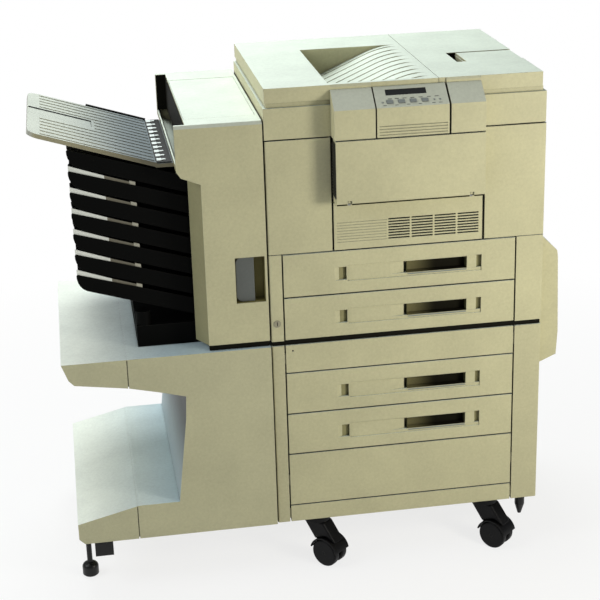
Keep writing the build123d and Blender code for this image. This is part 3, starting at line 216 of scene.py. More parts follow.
link(both.outputs[0], centred.inputs[0])
link(centred.outputs[0], strength.inputs[0])
link(asked.outputs["Mottle"], strength.inputs[1])
link(fine.outputs["Fac"], given.inputs["Height"])
link(strength.outputs[0], given.inputs["Shade"])

# A painted highlight along the edges, where the bevel bends the normal, and painted shade from ambient
# occlusion in narrow gaps.
edges, asked, given = new_group(
    "edge_highlight_and_gap_shade", [("Width", value_kind, 0.0012), ("Gap", value_kind, 0.014)],
    [("Edge", value_kind), ("Normal", vector_kind), ("Shade", value_kind)])
rounded = add(edges, "ShaderNodeBevel")
rounded.samples = 4
plain = add(edges, "ShaderNodeNewGeometry")
turn = add(edges, "ShaderNodeVectorMath")
turn.operation = "DOT_PRODUCT"
mask = add(edges, "ShaderNodeMapRange", From_Min=0.995, From_Max=0.85, To_Min=0.0, To_Max=1.0)
closed_in = add(edges, "ShaderNodeAmbientOcclusion")
closed_in.samples = 6
deeper = add(edges, "ShaderNodeMapRange", From_Min=0.12, From_Max=0.62, To_Min=0.02, To_Max=1.0)
link = edges.links.new
link(asked.outputs["Width"], rounded.inputs["Radius"])
link(asked.outputs["Gap"], closed_in.inputs["Distance"])
link(closed_in.outputs["AO"], deeper.inputs["Value"])
link(deeper.outputs["Result"], given.inputs["Shade"])
link(rounded.outputs["Normal"], turn.inputs[0])
link(plain.outputs["Normal"], turn.inputs[1])
link(turn.outputs["Value"], mask.inputs["Value"])
link(mask.outputs["Result"], given.inputs["Edge"])
link(rounded.outputs["Normal"], given.inputs["Normal"])

# Painted light by facing: a pale colour on the tops as lit from above and, where a material asks for it, a
# darker one on faces that look left, as painted shade away from the lamps.
facing_light_paint, asked, given = new_group(
    "painted_light_by_facing",
    [("Upright", colour_kind, (0.5, 0.5, 0.4, 1)), ("Slope", colour_kind, (0.5, 0.5, 0.45, 1)),
     ("Top", colour_kind, (0.8, 0.8, 0.75, 1)), ("Left", colour_kind, (0.4, 0.4, 0.3, 1))],
    [("Color", colour_kind)])
where = add(facing_light_paint, "ShaderNodeTexCoord")
parts = add(facing_light_paint, "ShaderNodeSeparateXYZ")
to_slope = add(facing_light_paint, "ShaderNodeMapRange", From_Min=0.25, From_Max=0.6, To_Min=0.0, To_Max=1.0)
to_top = add(facing_light_paint, "ShaderNodeMapRange", From_Min=0.84, From_Max=0.9, To_Min=0.0, To_Max=1.0)
to_left = add(facing_light_paint, "ShaderNodeMapRange", From_Min=-0.4, From_Max=-0.75, To_Min=0.0, To_Max=1.0)
aside = add(facing_light_paint, "ShaderNodeMix")
sloped = add(facing_light_paint, "ShaderNodeMix")
topped = add(facing_light_paint, "ShaderNodeMix")
aside.data_type = sloped.data_type = topped.data_type = "RGBA"
link = facing_light_paint.links.new
link(where.outputs["Normal"], parts.inputs[0])
link(parts.outputs["X"], to_left.inputs["Value"])
link(parts.outputs["Z"], to_slope.inputs["Value"])
link(parts.outputs["Z"], to_top.inputs["Value"])
link(to_left.outputs["Result"], aside.inputs["Factor"])
link(asked.outputs["Upright"], aside.inputs[colour_a])
link(asked.outputs["Left"], aside.inputs[colour_b])
link(to_slope.outputs["Result"], sloped.inputs["Factor"])
link(aside.outputs[colour_out], sloped.inputs[colour_a])
link(asked.outputs["Slope"], sloped.inputs[colour_b])
link(to_top.outputs["Result"], topped.inputs["Factor"])
link(sloped.outputs[colour_out], topped.inputs[colour_a])
link(asked.outputs["Top"], topped.inputs[colour_b])
link(topped.outputs[colour_out], given.inputs["Color"])


def use(tree, group, **settings):
    """A group placed in a material, with its own values."""
    node = tree.nodes.new("ShaderNodeGroup")
    node.node_tree = group
    for key, value in settings.items():
        node.inputs[key.replace("_", " ")].default_value = value
    return node


# The colour screened over the edges as a painted highlight.
edge_highlight_tint = (0.5, 0.49, 0.42, 1)
grain_height = 0.0004


def moulded(name, upright, slope=None, top=None, left=None, roughness=0.55, grain_size=1.0, bump=0.25,
            mottle=0.3, edge=0.0012, paler=0.35, coat=0.0, gap=0.014, shine=0.5):
    """A moulded or painted shell: tint painted by facing, its grain, painted edge highlight and gap shade."""
    material = bpy.data.materials.new(name)
    tree, output = nodes_of(material)
    skin = add(tree, "ShaderNodeBsdfPrincipled", Roughness=roughness)
    skin.inputs["Coat Weight"].default_value = coat
    skin.inputs["Specular IOR Level"].default_value = shine
    tint = use(tree, facing_light_paint, Upright=(*upright, 1), Slope=(*(slope or upright), 1),
               Top=(*(top or upright), 1), Left=(*(left or upright), 1))
    texture = use(tree, grain, Grain_Size=grain_size, Mottle=mottle)
    rim = use(tree, edges, Width=edge, Gap=gap)
    shaded = add(tree, "ShaderNodeVectorMath")
    gap_shaded = add(tree, "ShaderNodeVectorMath")
    shaded.operation = gap_shaded.operation = "SCALE"
    lighter = add(tree, "ShaderNodeMix")
    lighter.data_type = "RGBA"
    lighter.blend_type = "SCREEN"
    lighter.inputs[colour_b].default_value = edge_highlight_tint
    amount = add(tree, "ShaderNodeMath")
    amount.operation = "MULTIPLY"
    amount.inputs[1].default_value = paler
    relief = add(tree, "ShaderNodeBump", Strength=bump, Distance=grain_height)
    link = tree.links.new
    link(tint.outputs["Color"], shaded.inputs[0])
    link(texture.outputs["Shade"], shaded.inputs["Scale"])
    link(rim.outputs["Edge"], amount.inputs[0])
    link(amount.outputs[0], lighter.inputs["Factor"])
    link(shaded.outputs[0], lighter.inputs[colour_a])
    # Painted shade: the colour is darkened where ambient occlusion finds a narrow gap.
    link(lighter.outputs[colour_out], gap_shaded.inputs[0])
    link(rim.outputs["Shade"], gap_shaded.inputs["Scale"])
    link(gap_shaded.outputs[0], skin.inputs["Base Color"])
    link(texture.outputs["Height"], relief.inputs["Height"])
    link(rim.outputs["Normal"], relief.inputs["Normal"])
    link(relief.outputs[0], skin.inputs["Normal"])
    link(skin.outputs[0], output.inputs["Surface"])
    return material


def fade_across(material, labels, start, stop, first, second):
    """Lets a tint change along the machine's width, from one colour at start to another at stop."""
    tree = material.node_tree
    place = add(tree, "ShaderNodeTexCoord")
    apart = add(tree, "ShaderNodeSeparateXYZ")
    share = add(tree, "ShaderNodeMapRange", From_Min=spot(start, 0, 0).x, From_Max=spot(stop, 0, 0).x)
    share.interpolation_type = "SMOOTHSTEP"
    mix = add(tree, "ShaderNodeMix")
    mix.data_type = "RGBA"
    mix.inputs[colour_a].default_value = (*first, 1)
    mix.inputs[colour_b].default_value = (*second, 1)
    tree.links.new(place.outputs["Object"], apart.inputs[0])
    tree.links.new(apart.outputs["X"], share.inputs["Value"])
    tree.links.new(share.outputs["Result"], mix.inputs["Factor"])
    tint = next(node for node in tree.nodes if node.type == "GROUP" and node.node_tree == facing_light_paint)
    for label in labels:
        tree.links.new(mix.outputs[colour_out], tint.inputs[label])


def dress(material, *names):
    """Gives CAD nodes a material in all their slots."""
    for name in names:
        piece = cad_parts[name]
        if not piece.data.materials:
            piece.data.materials.append(material)
        for slot in piece.material_slots:
            slot.material = material


# The top colour is painted light: pale as the tops are lit from above.
putty_upright, putty_slope, putty_top_lit = (0.52, 0.49, 0.30), (0.50, 0.52, 0.43), (0.74, 0.81, 0.69)
putty = moulded("putty_plastic", putty_upright, putty_slope, putty_top_lit)
dress(putty, "engine_left_cover", "engine_right_cover", "rear_cover", "feeder_case", "side_cover",
      "vent_grille", "front_cover", "upper_left_cover", "upper_right_cover", "control_panel", "release_lever",
      "pedestal_top_rail", "pedestal_lower_panel", "pedestal_skirt")


# The pedestal's sheet case is painted in the same tint, with the same painted light on its top and a
# finer and flatter grain. It carries everything above it and stands on its four casters.

case_paint = moulded("case_paint", (0.50, 0.47, 0.29), (0.50, 0.50, 0.38), putty_top_lit, roughness=0.5,
                     grain_size=0.7, bump=0.15)
dress(case_paint, "pedestal_cabinet", "pedestal_rear_cover")


# Paper cassettes: moulded fronts in putty on grey trays. Each grip pocket is lined with painted shade,
# olive where the light gets in and black deeper inside, a rubber strip lies along its lower lip, and a
# flat pad at its right end leaves a narrow slot backed by olive painted shade. The size window is a
# slanting recess, with a tile of the same painted shade on its floor.

def edges_at(corners):
    """The edges that meet at some corners, each once and always in the same order."""
    return list(dict.fromkeys(edge for corner in corners for edge in corner.link_edges))


def rounded_box(work, low, high, radius=0.0004):
    """Adds a box with softened edges to a mesh in the making, and returns its corners."""
    size = Matrix.Diagonal((*(high - low), 1))
    made = bmesh.ops.create_cube(work, size=1.0, matrix=Matrix.Translation((low + high) / 2) @ size)
    softened = bmesh.ops.bevel(work, geom=edges_at(made["verts"]), offset=radius, segments=2, profile=0.5,
                               affect="EDGES", material=-1)
    return softened["verts"]


def finished(name, work, material, body):
    """Turns a mesh in the making into a piece that rides on a body."""
    mesh = bpy.data.meshes.new(name)
    bmesh.ops.recalc_face_normals(work, faces=work.faces)
    work.to_mesh(mesh)
    work.free()
    piece = bpy.data.objects.new(name, mesh)
    scene.collection.objects.link(piece)
    mesh.materials.append(material)
    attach(piece, body)
    return piece


crisp_edge, fine_edge, soft_edge = 0.0001, 0.0002, 0.0006
lining = 0.3


def lined_pocket(work, left, right, front, back, low, high):
    """Four thin walls and a back that line a pocket which is open to the front."""
    rounded_box(work, spot(left, back - lining, low), spot(right, back, high), crisp_edge)
    rounded_box(work, spot(left, front, high - lining), spot(right, back, high), crisp_edge)
    rounded_box(work, spot(left, front, low), spot(right, back, low + lining), crisp_edge)
    rounded_box(work, spot(right - lining, front, low), spot(right, back, high), crisp_edge)
    rounded_box(work, spot(left, front, low), spot(left + lining, back, high), crisp_edge)


cassette_count = 4
front_left = 30
pocket_left, pocket_right = front_left + 257, front_left + 393
pocket_rise, pocket_tall, pocket_mouth, pocket_deep, pocket_cheek = 33, 26, 2.6, 20, 6
pocket_lit = 75
strip_start, strip_front, strip_back, strip_low, strip_high = 8, 0.9, 2.3, 3.4, 1.2
pad_left, pad_width, pad_front, pad_back, pad_tall = pocket_right + 0.3, 21, 1.8, 15.9, 27.9
slot_width, slot_front, slot_back = 10.5, 8, 8.6
window_left, window_wide, window_deep, window_drop = front_left + 108, 26, 9, 7
shade_low, shade_high = Vector((11, -0.2, 3.5)) / 1000, Vector((27.2, 0.1, 31.5)) / 1000
close_fit = 0.1
cassette_grey = moulded("cassette_grey", (0.16, 0.16, 0.15), roughness=0.5, mottle=0.12)
# Black painted shade, for pockets, gaps and holes that lie in shadow.
shade_black = moulded("shade_black", (0.006, 0.0055, 0.003), roughness=0.75, bump=0.2, paler=0.0, shine=0.1)
pocket_shade = moulded("pocket_shade", (0.1, 0.1, 0.05), roughness=0.75, bump=0.2, paler=0.0, gap=0.004,
                       shine=0.1)
fade_across(pocket_shade, ("Upright", "Slope", "Top"), pocket_left, pocket_left + pocket_lit,
            (0.20, 0.18, 0.085), (0.008, 0.007, 0.003))
# Olive painted shade, for the slot behind the pad and the floor of the size window.
slot_shade_olive = moulded("slot_shade_olive", (0.26, 0.24, 0.12), roughness=0.7, bump=0.2, paler=0.0, gap=0.004,
                     shine=0.2)
strip_grey = moulded("strip_grey", (0.20, 0.23, 0.22), roughness=0.6, bump=0.3)
for count in range(1, cassette_count + 1):
    dress(putty, f"cassette_front_{count}")
    dress(cassette_grey, f"cassette_tray_{count}")
    body = f"cassette_{count}"
    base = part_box(f"cassette_front_{count}")[0].z * 1000 + pocket_rise
    work = bmesh.new()
    lined_pocket(work, pocket_left + pocket_cheek, pocket_right - close_fit, pocket_mouth,
                 pocket_deep - close_fit, base + close_fit, base + pocket_tall - close_fit)
    finished(f"cassette_pocket_{count}", work, pocket_shade, body)
    work = bmesh.new()
    rounded_box(work, spot(pocket_left + strip_start, strip_front, base - strip_low),
                spot(pocket_right, strip_back, base - strip_high))
    finished(f"cassette_strip_{count}", work, strip_grey, body)
    work = bmesh.new()
    rounded_box(work, spot(pad_left, pad_front, base + close_fit),
                spot(pad_left + pad_width, pad_back, base + pad_tall))
    finished(f"cassette_pad_{count}", work, putty, body)
    work = bmesh.new()
    slot_left = pad_left + pad_width
    rounded_box(work, spot(slot_left, slot_front, base + close_fit),
                spot(slot_left + slot_width, slot_back, base + pad_tall), crisp_edge)
    corner = spot(window_left, 0, base - window_drop)
    made = rounded_box(work, corner + shade_low, corner + shade_high, crisp_edge / 2)
    slant = Matrix.Rotation(math.atan2(window_deep, window_wide), 4, "Z")
    placed = Matrix.Translation(corner) @ slant @ Matrix.Translation(-corner)
    bmesh.ops.transform(work, matrix=placed, verts=made)
    finished(f"cassette_slot_{count}", work, slot_shade_olive, body)


# Vent panel: behind its louvres lies a black sheet of painted shade, so that the slots read black.
# Strips of painted shade darken the two upright joints beside the panel.

louvre_left, louvre_right, louvre_low, louvre_high = 250, 450, 756, 808
backing_front, backing_back = 3.4, 4.2
vent_joints = ((455.2, 459.8), (135.2, 138.8))
vent_low, vent_high, joint_front, joint_back = 744, 843, 1.6, 2.6
work = bmesh.new()
rounded_box(work, spot(louvre_left, backing_front, louvre_low), spot(louvre_right, backing_back, louvre_high),
            crisp_edge)
for start, end in vent_joints:
    rounded_box(work, spot(start, joint_front, vent_low), spot(end, joint_back, vent_high), fine_edge)
finished("louvre_shade_backing", work, shade_black, "main_unit")


# A black strip of painted shade lies in the gap between the feeder case and the pedestal, along the
# front and the right side, set back from their faces.

gap_shade_left, gap_shade_right, gap_shade_end = 2, 588, 480
gap_shade_front, gap_shade_thick, gap_shade_low, gap_shade_high = 4, 5, 538.2, 548.8
gap_shade_back = gap_shade_front + gap_shade_thick
work = bmesh.new()
rounded_box(work, spot(gap_shade_left, gap_shade_front, gap_shade_low), spot(gap_shade_right, gap_shade_back, gap_shade_high))
rounded_box(work, spot(gap_shade_right - gap_shade_thick, gap_shade_back, gap_shade_low),
            spot(gap_shade_right, gap_shade_end, gap_shade_high))
finished("stack_gap_shade", work, shade_black, "main_unit")


# Control panel: a dark display under a clear window, grey keys, small lamps, and plain dashes where
# the real panel has its legends.

display_dark = moulded("display_dark", (0.006, 0.007, 0.007), roughness=0.12, bump=0.0, coat=0.6, paler=0.1)
key_grey = moulded("key_grey", (0.20, 0.22, 0.215), roughness=0.45, bump=0.1)
legend_grey = moulded("legend_grey", (0.06, 0.065, 0.065), roughness=0.6, bump=0.0, paler=0.0)
dress(display_dark, "display_window")
dress(key_grey, *[f"panel_key_{count}" for count in range(1, 5)])
slope_front, slope_low, slope_back, slope_high = -40, 1047, 1, 1081
up_slope = (spot(0, slope_back, slope_high) - spot(0, slope_front, slope_low)).normalized()
off_slope = Vector((1, 0, 0)).cross(up_slope)


def slope_tile(work, left, right, low, high, under, over, radius):
    """A small tile with softened edges that lies on the panel's slope, from its foot upwards."""
    size = Vector((right - left, high - low, over - under)) / 1000
    corners = rounded_box(work, Vector((0, 0, 0)), size, radius)
    place = spot(left, slope_front, slope_low) + up_slope * (low / 1000) + off_slope * (under / 1000)
    lie = Matrix((Vector((1, 0, 0)), up_slope, off_slope)).transposed().to_4x4()
    bmesh.ops.transform(work, matrix=Matrix.Translation(place) @ lie, verts=corners)


dash_under, dash_over = 0.02, 0.25
upper_dashes = (250, 264, 280, 296, 313, 330, 346), 8, 21.0, 22.4
lower_dashes = (238, 262, 286, 310, 338, 352), 7, 5.0, 6.2
work = bmesh.new()
for starts, length, low, high in (upper_dashes, lower_dashes):
    for start in starts:
        slope_tile(work, start, start + length, low, high, dash_under, dash_over, crisp_edge)
finished("panel_legends", work, legend_grey, "main_unit")
lamp_starts, lamp_width, lamp_low, lamp_high = (236, 342, 354), 4, 12.0, 15.0
lamp_over, lamp_edge = 1.0, 0.0004
work = bmesh.new()
for start in lamp_starts:
    slope_tile(work, start, start + lamp_width, lamp_low, lamp_high, dash_under, lamp_over, lamp_edge)
finished("panel_lamps", work, key_grey, "main_unit")


# Front cover: its left side is closed by a louvred band between its ribs, black as its own colour and
# as painted shade of that side, which looks away from the light. A strip of painted shade runs under
# the cover, parted around its two hinges, and putty caps close the hinges' ends.

rib_count, rib_left, rib_right, rib_thick = 18, 136.6, 138.3, 2.6
band_left, band_right, band_front, band_back = 138.1, 138.9, -37, -3
band_low, band_high, band_margin, rib_setback = 864, 980, 2, 0.5
rib_pitch = (band_high - band_low - 2 * band_margin) / rib_count
work = bmesh.new()
rounded_box(work, spot(band_left, band_front, band_low), spot(band_right, band_back, band_high), fine_edge)
for count in range(rib_count):
    level = band_low + band_margin + count * rib_pitch
    rounded_box(work, spot(rib_left, band_front + rib_setback, level),
                spot(rib_right, band_back - rib_setback, level + rib_thick))
band_black = moulded("band_black", (0.012, 0.012, 0.010), roughness=0.5, paler=0.15, shine=0.2)
finished("front_cover_band", work, band_black, "front_cover")

# A strip of painted shade on the cover's downward lower edge.
foot_runs = ((139.5, 161), (171, 417), (427, 448.5))
foot_front, foot_back, foot_low, foot_high = -38.4, -35.4, 849.2, 851.8
work = bmesh.new()
for start, end in foot_runs:
    rounded_box(work, spot(start, foot_front, foot_low), spot(end, foot_back, foot_high), soft_edge)
finished("front_cover_foot_line", work, shade_black, "front_cover")

hinge_places, hinge_y, hinge_z = (166, 422), -31, 857
cap_radius, cap_depth, cap_edge = 0.0055, 0.0062, 0.0003
work = bmesh.new()
for hinge_x in hinge_places:
    placed = Matrix.Translation(spot(hinge_x, hinge_y, hinge_z)) @ Matrix.Rotation(math.pi / 2, 4, "Y")
    cap = bmesh.ops.create_cone(work, cap_ends=True, segments=40, radius1=cap_radius, radius2=cap_radius,
                                depth=cap_depth, matrix=placed)
    rims = [edge for edge in edges_at(cap["verts"]) if any(len(face.verts) > 4 for face in edge.link_faces)]
    bmesh.ops.bevel(work, geom=rims, offset=cap_edge, segments=2, profile=0.5, affect="EDGES", material=-1)
finished("front_cover_hinge_caps", work, putty, "main_unit")


# Release lever: the finger hole beside it is lined with black painted shade, and strips of olive painted
# shade run in the joints along both of its long edges in the top of the right upper cover.

hole_left, hole_right, hole_front, hole_back, hole_low, hole_high = 436.3, 457, 143.3, 240.7, 1075.2, 1090
hole_floor, hole_wall = 0.4, 0.5
work = bmesh.new()
rounded_box(work, spot(hole_left, hole_front, hole_low), spot(hole_right, hole_back, hole_low + hole_floor),
            crisp_edge)
rounded_box(work, spot(hole_left, hole_back - hole_wall, hole_low), spot(hole_right, hole_back, hole_high),
            crisp_edge)
rounded_box(work, spot(hole_left - close_fit, hole_front, hole_low),
            spot(hole_left + lining, hole_back, hole_high - 1), crisp_edge)
finished("finger_hole_lining", work, shade_black, "upper_cover")

lever_left, lever_right, lever_sides, lever_joint = 460, 576, (143.7, 237.2), 3
joint_low, joint_high = 1089.9, 1090.15
joint_shade_olive = moulded("joint_shade_olive", (0.13, 0.12, 0.07), roughness=0.7, bump=0.1, paler=0.0, shine=0.2)
work = bmesh.new()
for start in lever_sides:
    rounded_box(work, spot(lever_left, start, joint_low), spot(lever_right, start + lever_joint, joint_high),
                crisp_edge)
finished("lever_joints", work, joint_shade_olive, "release_lever")


# The engine behind the covers: a frame of zinc-coated sheet steel, black scanner, cartridge and
# fuser, a coated and a silicone roller, a black fan and inlet, and the steel lock of the feeder.

zinc = moulded("zinc_sheet", (0.30, 0.31, 0.31), roughness=0.38, bump=0.05, mottle=0.25)
dress(zinc, "engine_frame")
unit_black = moulded("unit_black", (0.02, 0.02, 0.021), roughness=0.42, bump=0.15, paler=0.2)
dress(unit_black, "laser_scanner", "toner_cartridge", "fuser_unit", "fan_rotor", "power_inlet")
coated_roller = moulded("coated_roller", (0.03, 0.03, 0.035), roughness=0.18, bump=0.0, coat=0.5)
dress(coated_roller, "fuser_roller")
silicone = moulded("silicone_roller", (0.28, 0.07, 0.05), roughness=0.6, bump=0.1)
dress(silicone, "pressure_roller")
lock_steel = moulded("lock_steel", (0.30, 0.28, 0.19), roughness=0.35, bump=0.05)
dress(lock_steel, "lock_cylinder")


# The stand: the same putty, with shelves painted pale on top as lit from above, and painted blue grey
# towards the cabinet as the machine's shadow and reflection; the cabinet's inner wall is painted darker
# upwards in the shade of the arm above it. Flush strips close the joints of its end caps on top.

stand_upright, stand_slope_lit = (0.50, 0.475, 0.30), (0.80, 0.84, 0.74)
shelf_lit_pale, shelf_shadow_blue = (0.90, 0.94, 0.84), (0.50, 0.62, 0.66)
shelf_start, shelf_stop = -420, -190
wall_foot, wall_head = 228, 254
stand_left = (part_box("stand_upper_end")[0].x - left_edge) * 1000
stand_putty = moulded("stand_plastic", stand_upright, stand_slope_lit, shelf_lit_pale)
stand_inside = moulded("stand_inside", stand_upright, stand_slope_lit, left=(0.13, 0.155, 0.16))
for finish in (stand_putty, stand_inside):
    fade_across(finish, ("Top",), shelf_start, shelf_stop, shelf_lit_pale, shelf_shadow_blue)
# The inner wall's faces that look left are painted shade, near black under the arm.
fade_across(stand_inside, ("Left",), stand_left + wall_foot, stand_left + wall_head, (0.40, 0.47, 0.49),
            (0.02, 0.023, 0.02))
dress(stand_putty, "stand_upper_end", "stand_lower_end")
dress(stand_inside, "stand_cabinet")
seam_left, seam_right, seam_front, seam_back = -307.2, -304.8, -5.2, 516
arm_seam, shelf_seam = (537.4, 540), (194.4, 197.05)
work = bmesh.new()
for low, high in (arm_seam, shelf_seam):
    rounded_box(work, spot(seam_left, seam_front, low), spot(seam_right, seam_back, high), crisp_edge)
finished("stand_joints", work, stand_putty, "main_unit")


# Feet and brackets of black enamelled steel, and casters of black nylon, each with a stout swept
# arm over its fork.

def swept_plate(work, outline, sweep, radius, segments):
    """A plate with softened edges: an outline, swept along one way."""
    ring = [work.verts.new(corner) for corner in outline]
    grown = bmesh.ops.extrude_face_region(work, geom=[work.faces.new(ring)])
    far = [item for item in grown["geom"] if isinstance(item, bmesh.types.BMVert)]
    bmesh.ops.translate(work, vec=sweep, verts=far)
    bmesh.ops.bevel(work, geom=edges_at(ring + far), offset=radius, segments=segments, profile=0.5,
                    affect="EDGES", material=-1)


black_enamel = moulded("black_enamel", (0.006, 0.006, 0.006), roughness=0.35, bump=0.1, paler=0.06, shine=0.3)
dress(black_enamel, "levelling_foot_front", "levelling_foot_rear", "foot_brackets", "stop_foot")
nylon = moulded("black_nylon", (0.002, 0.002, 0.0025), roughness=0.45, bump=0.08, paler=0.03, shine=0.15)
caster_left, caster_right, caster_front, caster_rear = 92, 478, 34, 456
caster_angle = math.radians(-47)
arm_outline = ((-28, 103.5), (29, 103.5), (62, 60), (35, 69.5), (6, 58))
arm_half_width, arm_round = 17, 0.004
for corner, x, y in (("front_left", caster_left, caster_front), ("front_right", caster_right, caster_front),
                     ("rear_left", caster_left, caster_rear), ("rear_right", caster_right, caster_rear)):
    dress(nylon, f"caster_fork_{corner}", f"caster_wheels_{corner}")
    work = bmesh.new()
    outline = [Vector((along, -arm_half_width, up)) / 1000 for along, up in arm_outline]
    swept_plate(work, outline, Vector((0, 2 * arm_half_width, 0)) / 1000, arm_round, segments=3)
    placed = Matrix.Translation(spot(x, y, 0)) @ Matrix.Rotation(caster_angle, 4, "Z")
    bmesh.ops.transform(work, matrix=placed, verts=work.verts[:])
    finished(f"caster_arm_{corner}", work, nylon, f"caster_fork_{corner}")


# The sorter: putty housing and lid, painted darker and yellower on faces that look left, as shade away
# from the light, a black rack, a black lining of painted shade in the opening of its head and a black
# strip of painted shade under its foot.

sorter_putty = moulded("sorter_plastic", putty_upright, putty_slope, putty_top_lit, left=(0.27, 0.25, 0.13))
dress(sorter_putty, "sorter_housing", "sorter_lid")
bin_black = moulded("bin_black", (0.002, 0.0021, 0.0018), roughness=0.6, bump=0.12, paler=0.05, shine=0.05)
dress(bin_black, "sorter_rack")
head_left, head_wall, head_right = -179.4, -158.2, -157.2
head_front, head_back, head_low, head_high = 13, 499.8, 946, 1026
back_thick, wall_short = 1.2, 4
sole_left, sole_right, sole_front, sole_back, sole_low, sole_high = -131, -4, 4, 9, 541, 552.8
work = bmesh.new()
rounded_box(work, spot(head_left, head_back - back_thick, head_low), spot(head_right, head_back, head_high),
            fine_edge)
rounded_box(work, spot(head_wall, head_front, head_low), spot(head_right, head_back, head_high - wall_short),
            fine_edge)
rounded_box(work, spot(sole_left, sole_front, sole_low), spot(sole_right, sole_back, sole_high))
finished("head_shade_lining", work, shade_black, "sorter")


# Grip of the sorter's latch: a grey paddle in a pocket, which thin walls of olive painted shade line
# on all sides but the front.

grip_grey = moulded("grip_grey", (0.10, 0.108, 0.10), roughness=0.45)
dress(grip_grey, "sorter_latch")
grip_pocket_shade = moulded("grip_pocket_shade", (0.24, 0.21, 0.08), roughness=0.7, bump=0.2, paler=0.0, gap=0.006,
                       shine=0.2)
work = bmesh.new()
lined_pocket(work, left=-69.9, right=-8.1, front=0.6, back=29.9, low=642.1, high=741.9)
finished("grip_lining", work, grip_pocket_shade, "sorter")


# Seven bins of thin black plastic, each a sloping floor between two blades with rounded heels and a
# hand notch at its tip. Inside the front blade runs a strip with a painted highlight, pale at the tip
# where the light catches the rim and brown behind where less light falls, that ends in a stop.

bin_count, bin_pitch, bin_fall = 7, 44.5, math.tan(math.radians(16.6))
bins_low, bins_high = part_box("sorter_bins")
bin_run = (bins_high.x - bins_low.x) * 1000
bin_front, bin_back = ((corner.y - front_edge) * 1000 for corner in (bins_low, bins_high))
bin_middle = (bin_front + bin_back) / 2
tip_x, tip_z = -395, 980
blade_thick, floor_thick, floor_inset, plate_lap = 2.5, 2, 2, 0.2
notch_length, notch_half = 60, 55
heel_end, heel_drop, blade_drop = 21, 32, 36
heel = ((3, 0), (0.4, 3), (0.6, 10), (2.6, 18), (6.5, 24.5), (12.5, 29.5), (heel_end, heel_drop))
notch_drop = heel_drop + (blade_drop - heel_drop) * (notch_length - heel_end) / (bin_run - heel_end)
blade = heel + ((bin_run, blade_drop), (bin_run, 0))
curl = ((5, 19), (10.5, 26), (heel_end, heel_drop - floor_thick), (notch_length, notch_drop - floor_thick),
        (notch_length, notch_drop), (heel_end, heel_drop), (12.5, 29.5), (6.5, 24.5), (3.6, 19.5))
floor_line = ((notch_length - plate_lap, notch_drop), (notch_length - plate_lap, notch_drop - floor_thick),
              (bin_run, blade_drop - floor_thick), (bin_run, blade_drop))


def bin_plate(work, number, line, front, back, radius):
    """A plate of a bin, drawn as distances behind its tip and below its sloping upper edge."""
    outline = [spot(tip_x + along, front, tip_z - number * bin_pitch - along * bin_fall - drop)
               for along, drop in line]
    swept_plate(work, outline, Vector((0, (back - front) / 1000, 0)), radius, segments=2)


blade_round, floor_round, guide_round = 0.0005, 0.0003, 0.0004
work = bmesh.new()
for number in range(bin_count):
    bin_plate(work, number, blade, bin_front, bin_front + blade_thick, blade_round)
    bin_plate(work, number, blade, bin_back - blade_thick, bin_back, blade_round)
    bin_plate(work, number, curl, bin_front + floor_inset, bin_middle - notch_half, floor_round)
    bin_plate(work, number, curl, bin_middle + notch_half, bin_back - floor_inset, floor_round)
    bin_plate(work, number, floor_line, bin_front + floor_inset, bin_back - floor_inset, floor_round)
bins = finished("bins", work, bin_black, "sorter")
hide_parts("sorter_bins")

guide_tip, guide_turn, guide_end, stop_length = 1.5, 73, 123, 12
guide_front, guide_root = bin_front + 2.3, 5
rim_highlight_white = moulded("rim_highlight", (0.80, 0.81, 0.74), roughness=0.5, bump=0.1, gap=0.002)
rim_shade_brown = moulded("rim_shade", (0.15, 0.135, 0.095), roughness=0.5, bump=0.1, gap=0.002)
stop_pale = moulded("stop_pale", (0.42, 0.40, 0.32), roughness=0.5, bump=0.1, gap=0.002)
for name, finish, start, end, first_rise, last_rise, thick in (
        ("bin_rim_highlights", rim_highlight_white, guide_tip, guide_turn, 10.5, 6.5, 2),
        ("bin_rim_shade", rim_shade_brown, guide_turn, guide_end, 6.5, 5, 2),
        ("bin_stops", stop_pale, guide_end, guide_end + stop_length, 7, 7, 4)):
    work = bmesh.new()
    for number in range(1, bin_count):
        line = ((start, -first_rise), (start, guide_root), (end, guide_root), (end, -last_rise))
        bin_plate(work, number, line, guide_front, guide_front + thick, guide_round)
    finished(name, work, finish, "sorter")


# Output tray: ribbed plastic, painted pale towards its tip where the light falls and darker towards its
# root in the shade of the sorter's head, with black painted shade in the slot beside its extension and
# along its rear edge, and a black comb with cream teeth at its root.

tray_start, tray_stop = -420, -240
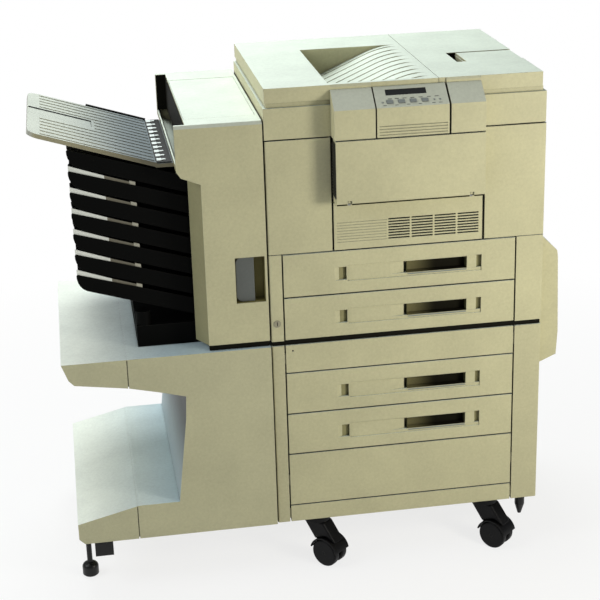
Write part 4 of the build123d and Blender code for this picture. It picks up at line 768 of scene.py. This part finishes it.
# Painted light and shade along the tray: its tops and slopes pale at the tip and blue grey at the root, its
# upright faces olive at the tip and dark brown at the root.
tray_cream = moulded("tray_cream", (0.30, 0.295, 0.24), (0.30, 0.32, 0.30), (0.36, 0.41, 0.39),
                     roughness=0.42, gap=0.004)
fade_across(tray_cream, ("Slope", "Top"), tray_start, tray_stop, (0.62, 0.65, 0.56), (0.20, 0.24, 0.25))
fade_across(tray_cream, ("Upright",), tray_start, tray_stop, (0.34, 0.31, 0.19), (0.16, 0.14, 0.08))
dress(tray_cream, "output_tray", "tray_extension")
tray_lean, root_x, root_z, tray_reach = math.radians(17.9), -213, 940, 255
tray_root = spot(root_x, 0, root_z)
tray_lie = Matrix.Translation(tray_root) @ Matrix.Rotation(tray_lean, 4, "Y") @ Matrix.Translation(-tray_root)
tray_tip = root_x - tray_reach / math.cos(tray_lean)
slot_left, slot_right, slot_low, slot_high = tray_tip + 2, tray_tip + 138, root_z - 1, root_z + 1.6
slot_near, slot_far = 282.5, 288
rim_left, rim_right, rim_low, rim_high = tray_tip + 130, root_x - 1, root_z - 2, root_z + 4.5
rim_near, rim_far = 425.6, 429.9
comb_left, comb_right, comb_low, comb_high = -216, -183, root_z - 1.7, root_z + 0.8
comb_front, comb_back, comb_edge = 62, 428, 0.0005
work = bmesh.new()
slot = rounded_box(work, spot(slot_left, slot_near, slot_low), spot(slot_right, slot_far, slot_high))
rim = rounded_box(work, spot(rim_left, rim_near, rim_low), spot(rim_right, rim_far, rim_high), soft_edge)
bmesh.ops.transform(work, matrix=tray_lie, verts=[*slot, *rim])
rounded_box(work, spot(comb_left, comb_front, comb_low), spot(comb_right, comb_back, comb_high), comb_edge)
finished("tray_comb", work, band_black, "sorter")

tooth_count, tooth_low, tooth_high = 11, root_z + 0.6, root_z + 2.6
tooth_pitch = (comb_back - comb_front) / tooth_count
tooth_root, tooth_point = (-213, -203, 9), (-204, -194, 4)
# Cream teeth, painted paler on their slopes and tops as lit from above.
tooth_cream = moulded("tooth_cream", (0.6, 0.6, 0.54), (0.7, 0.74, 0.7), (0.82, 0.88, 0.84), roughness=0.42,
                      gap=0.003)
work = bmesh.new()
for count in range(tooth_count):
    place = comb_front + (count + 0.5) * tooth_pitch
    for start, end, half_width in (tooth_root, tooth_point):
        rounded_box(work, spot(start, place - half_width, tooth_low),
                    spot(end, place + half_width, tooth_high), soft_edge)
finished("tray_comb_teeth", work, tooth_cream, "sorter")
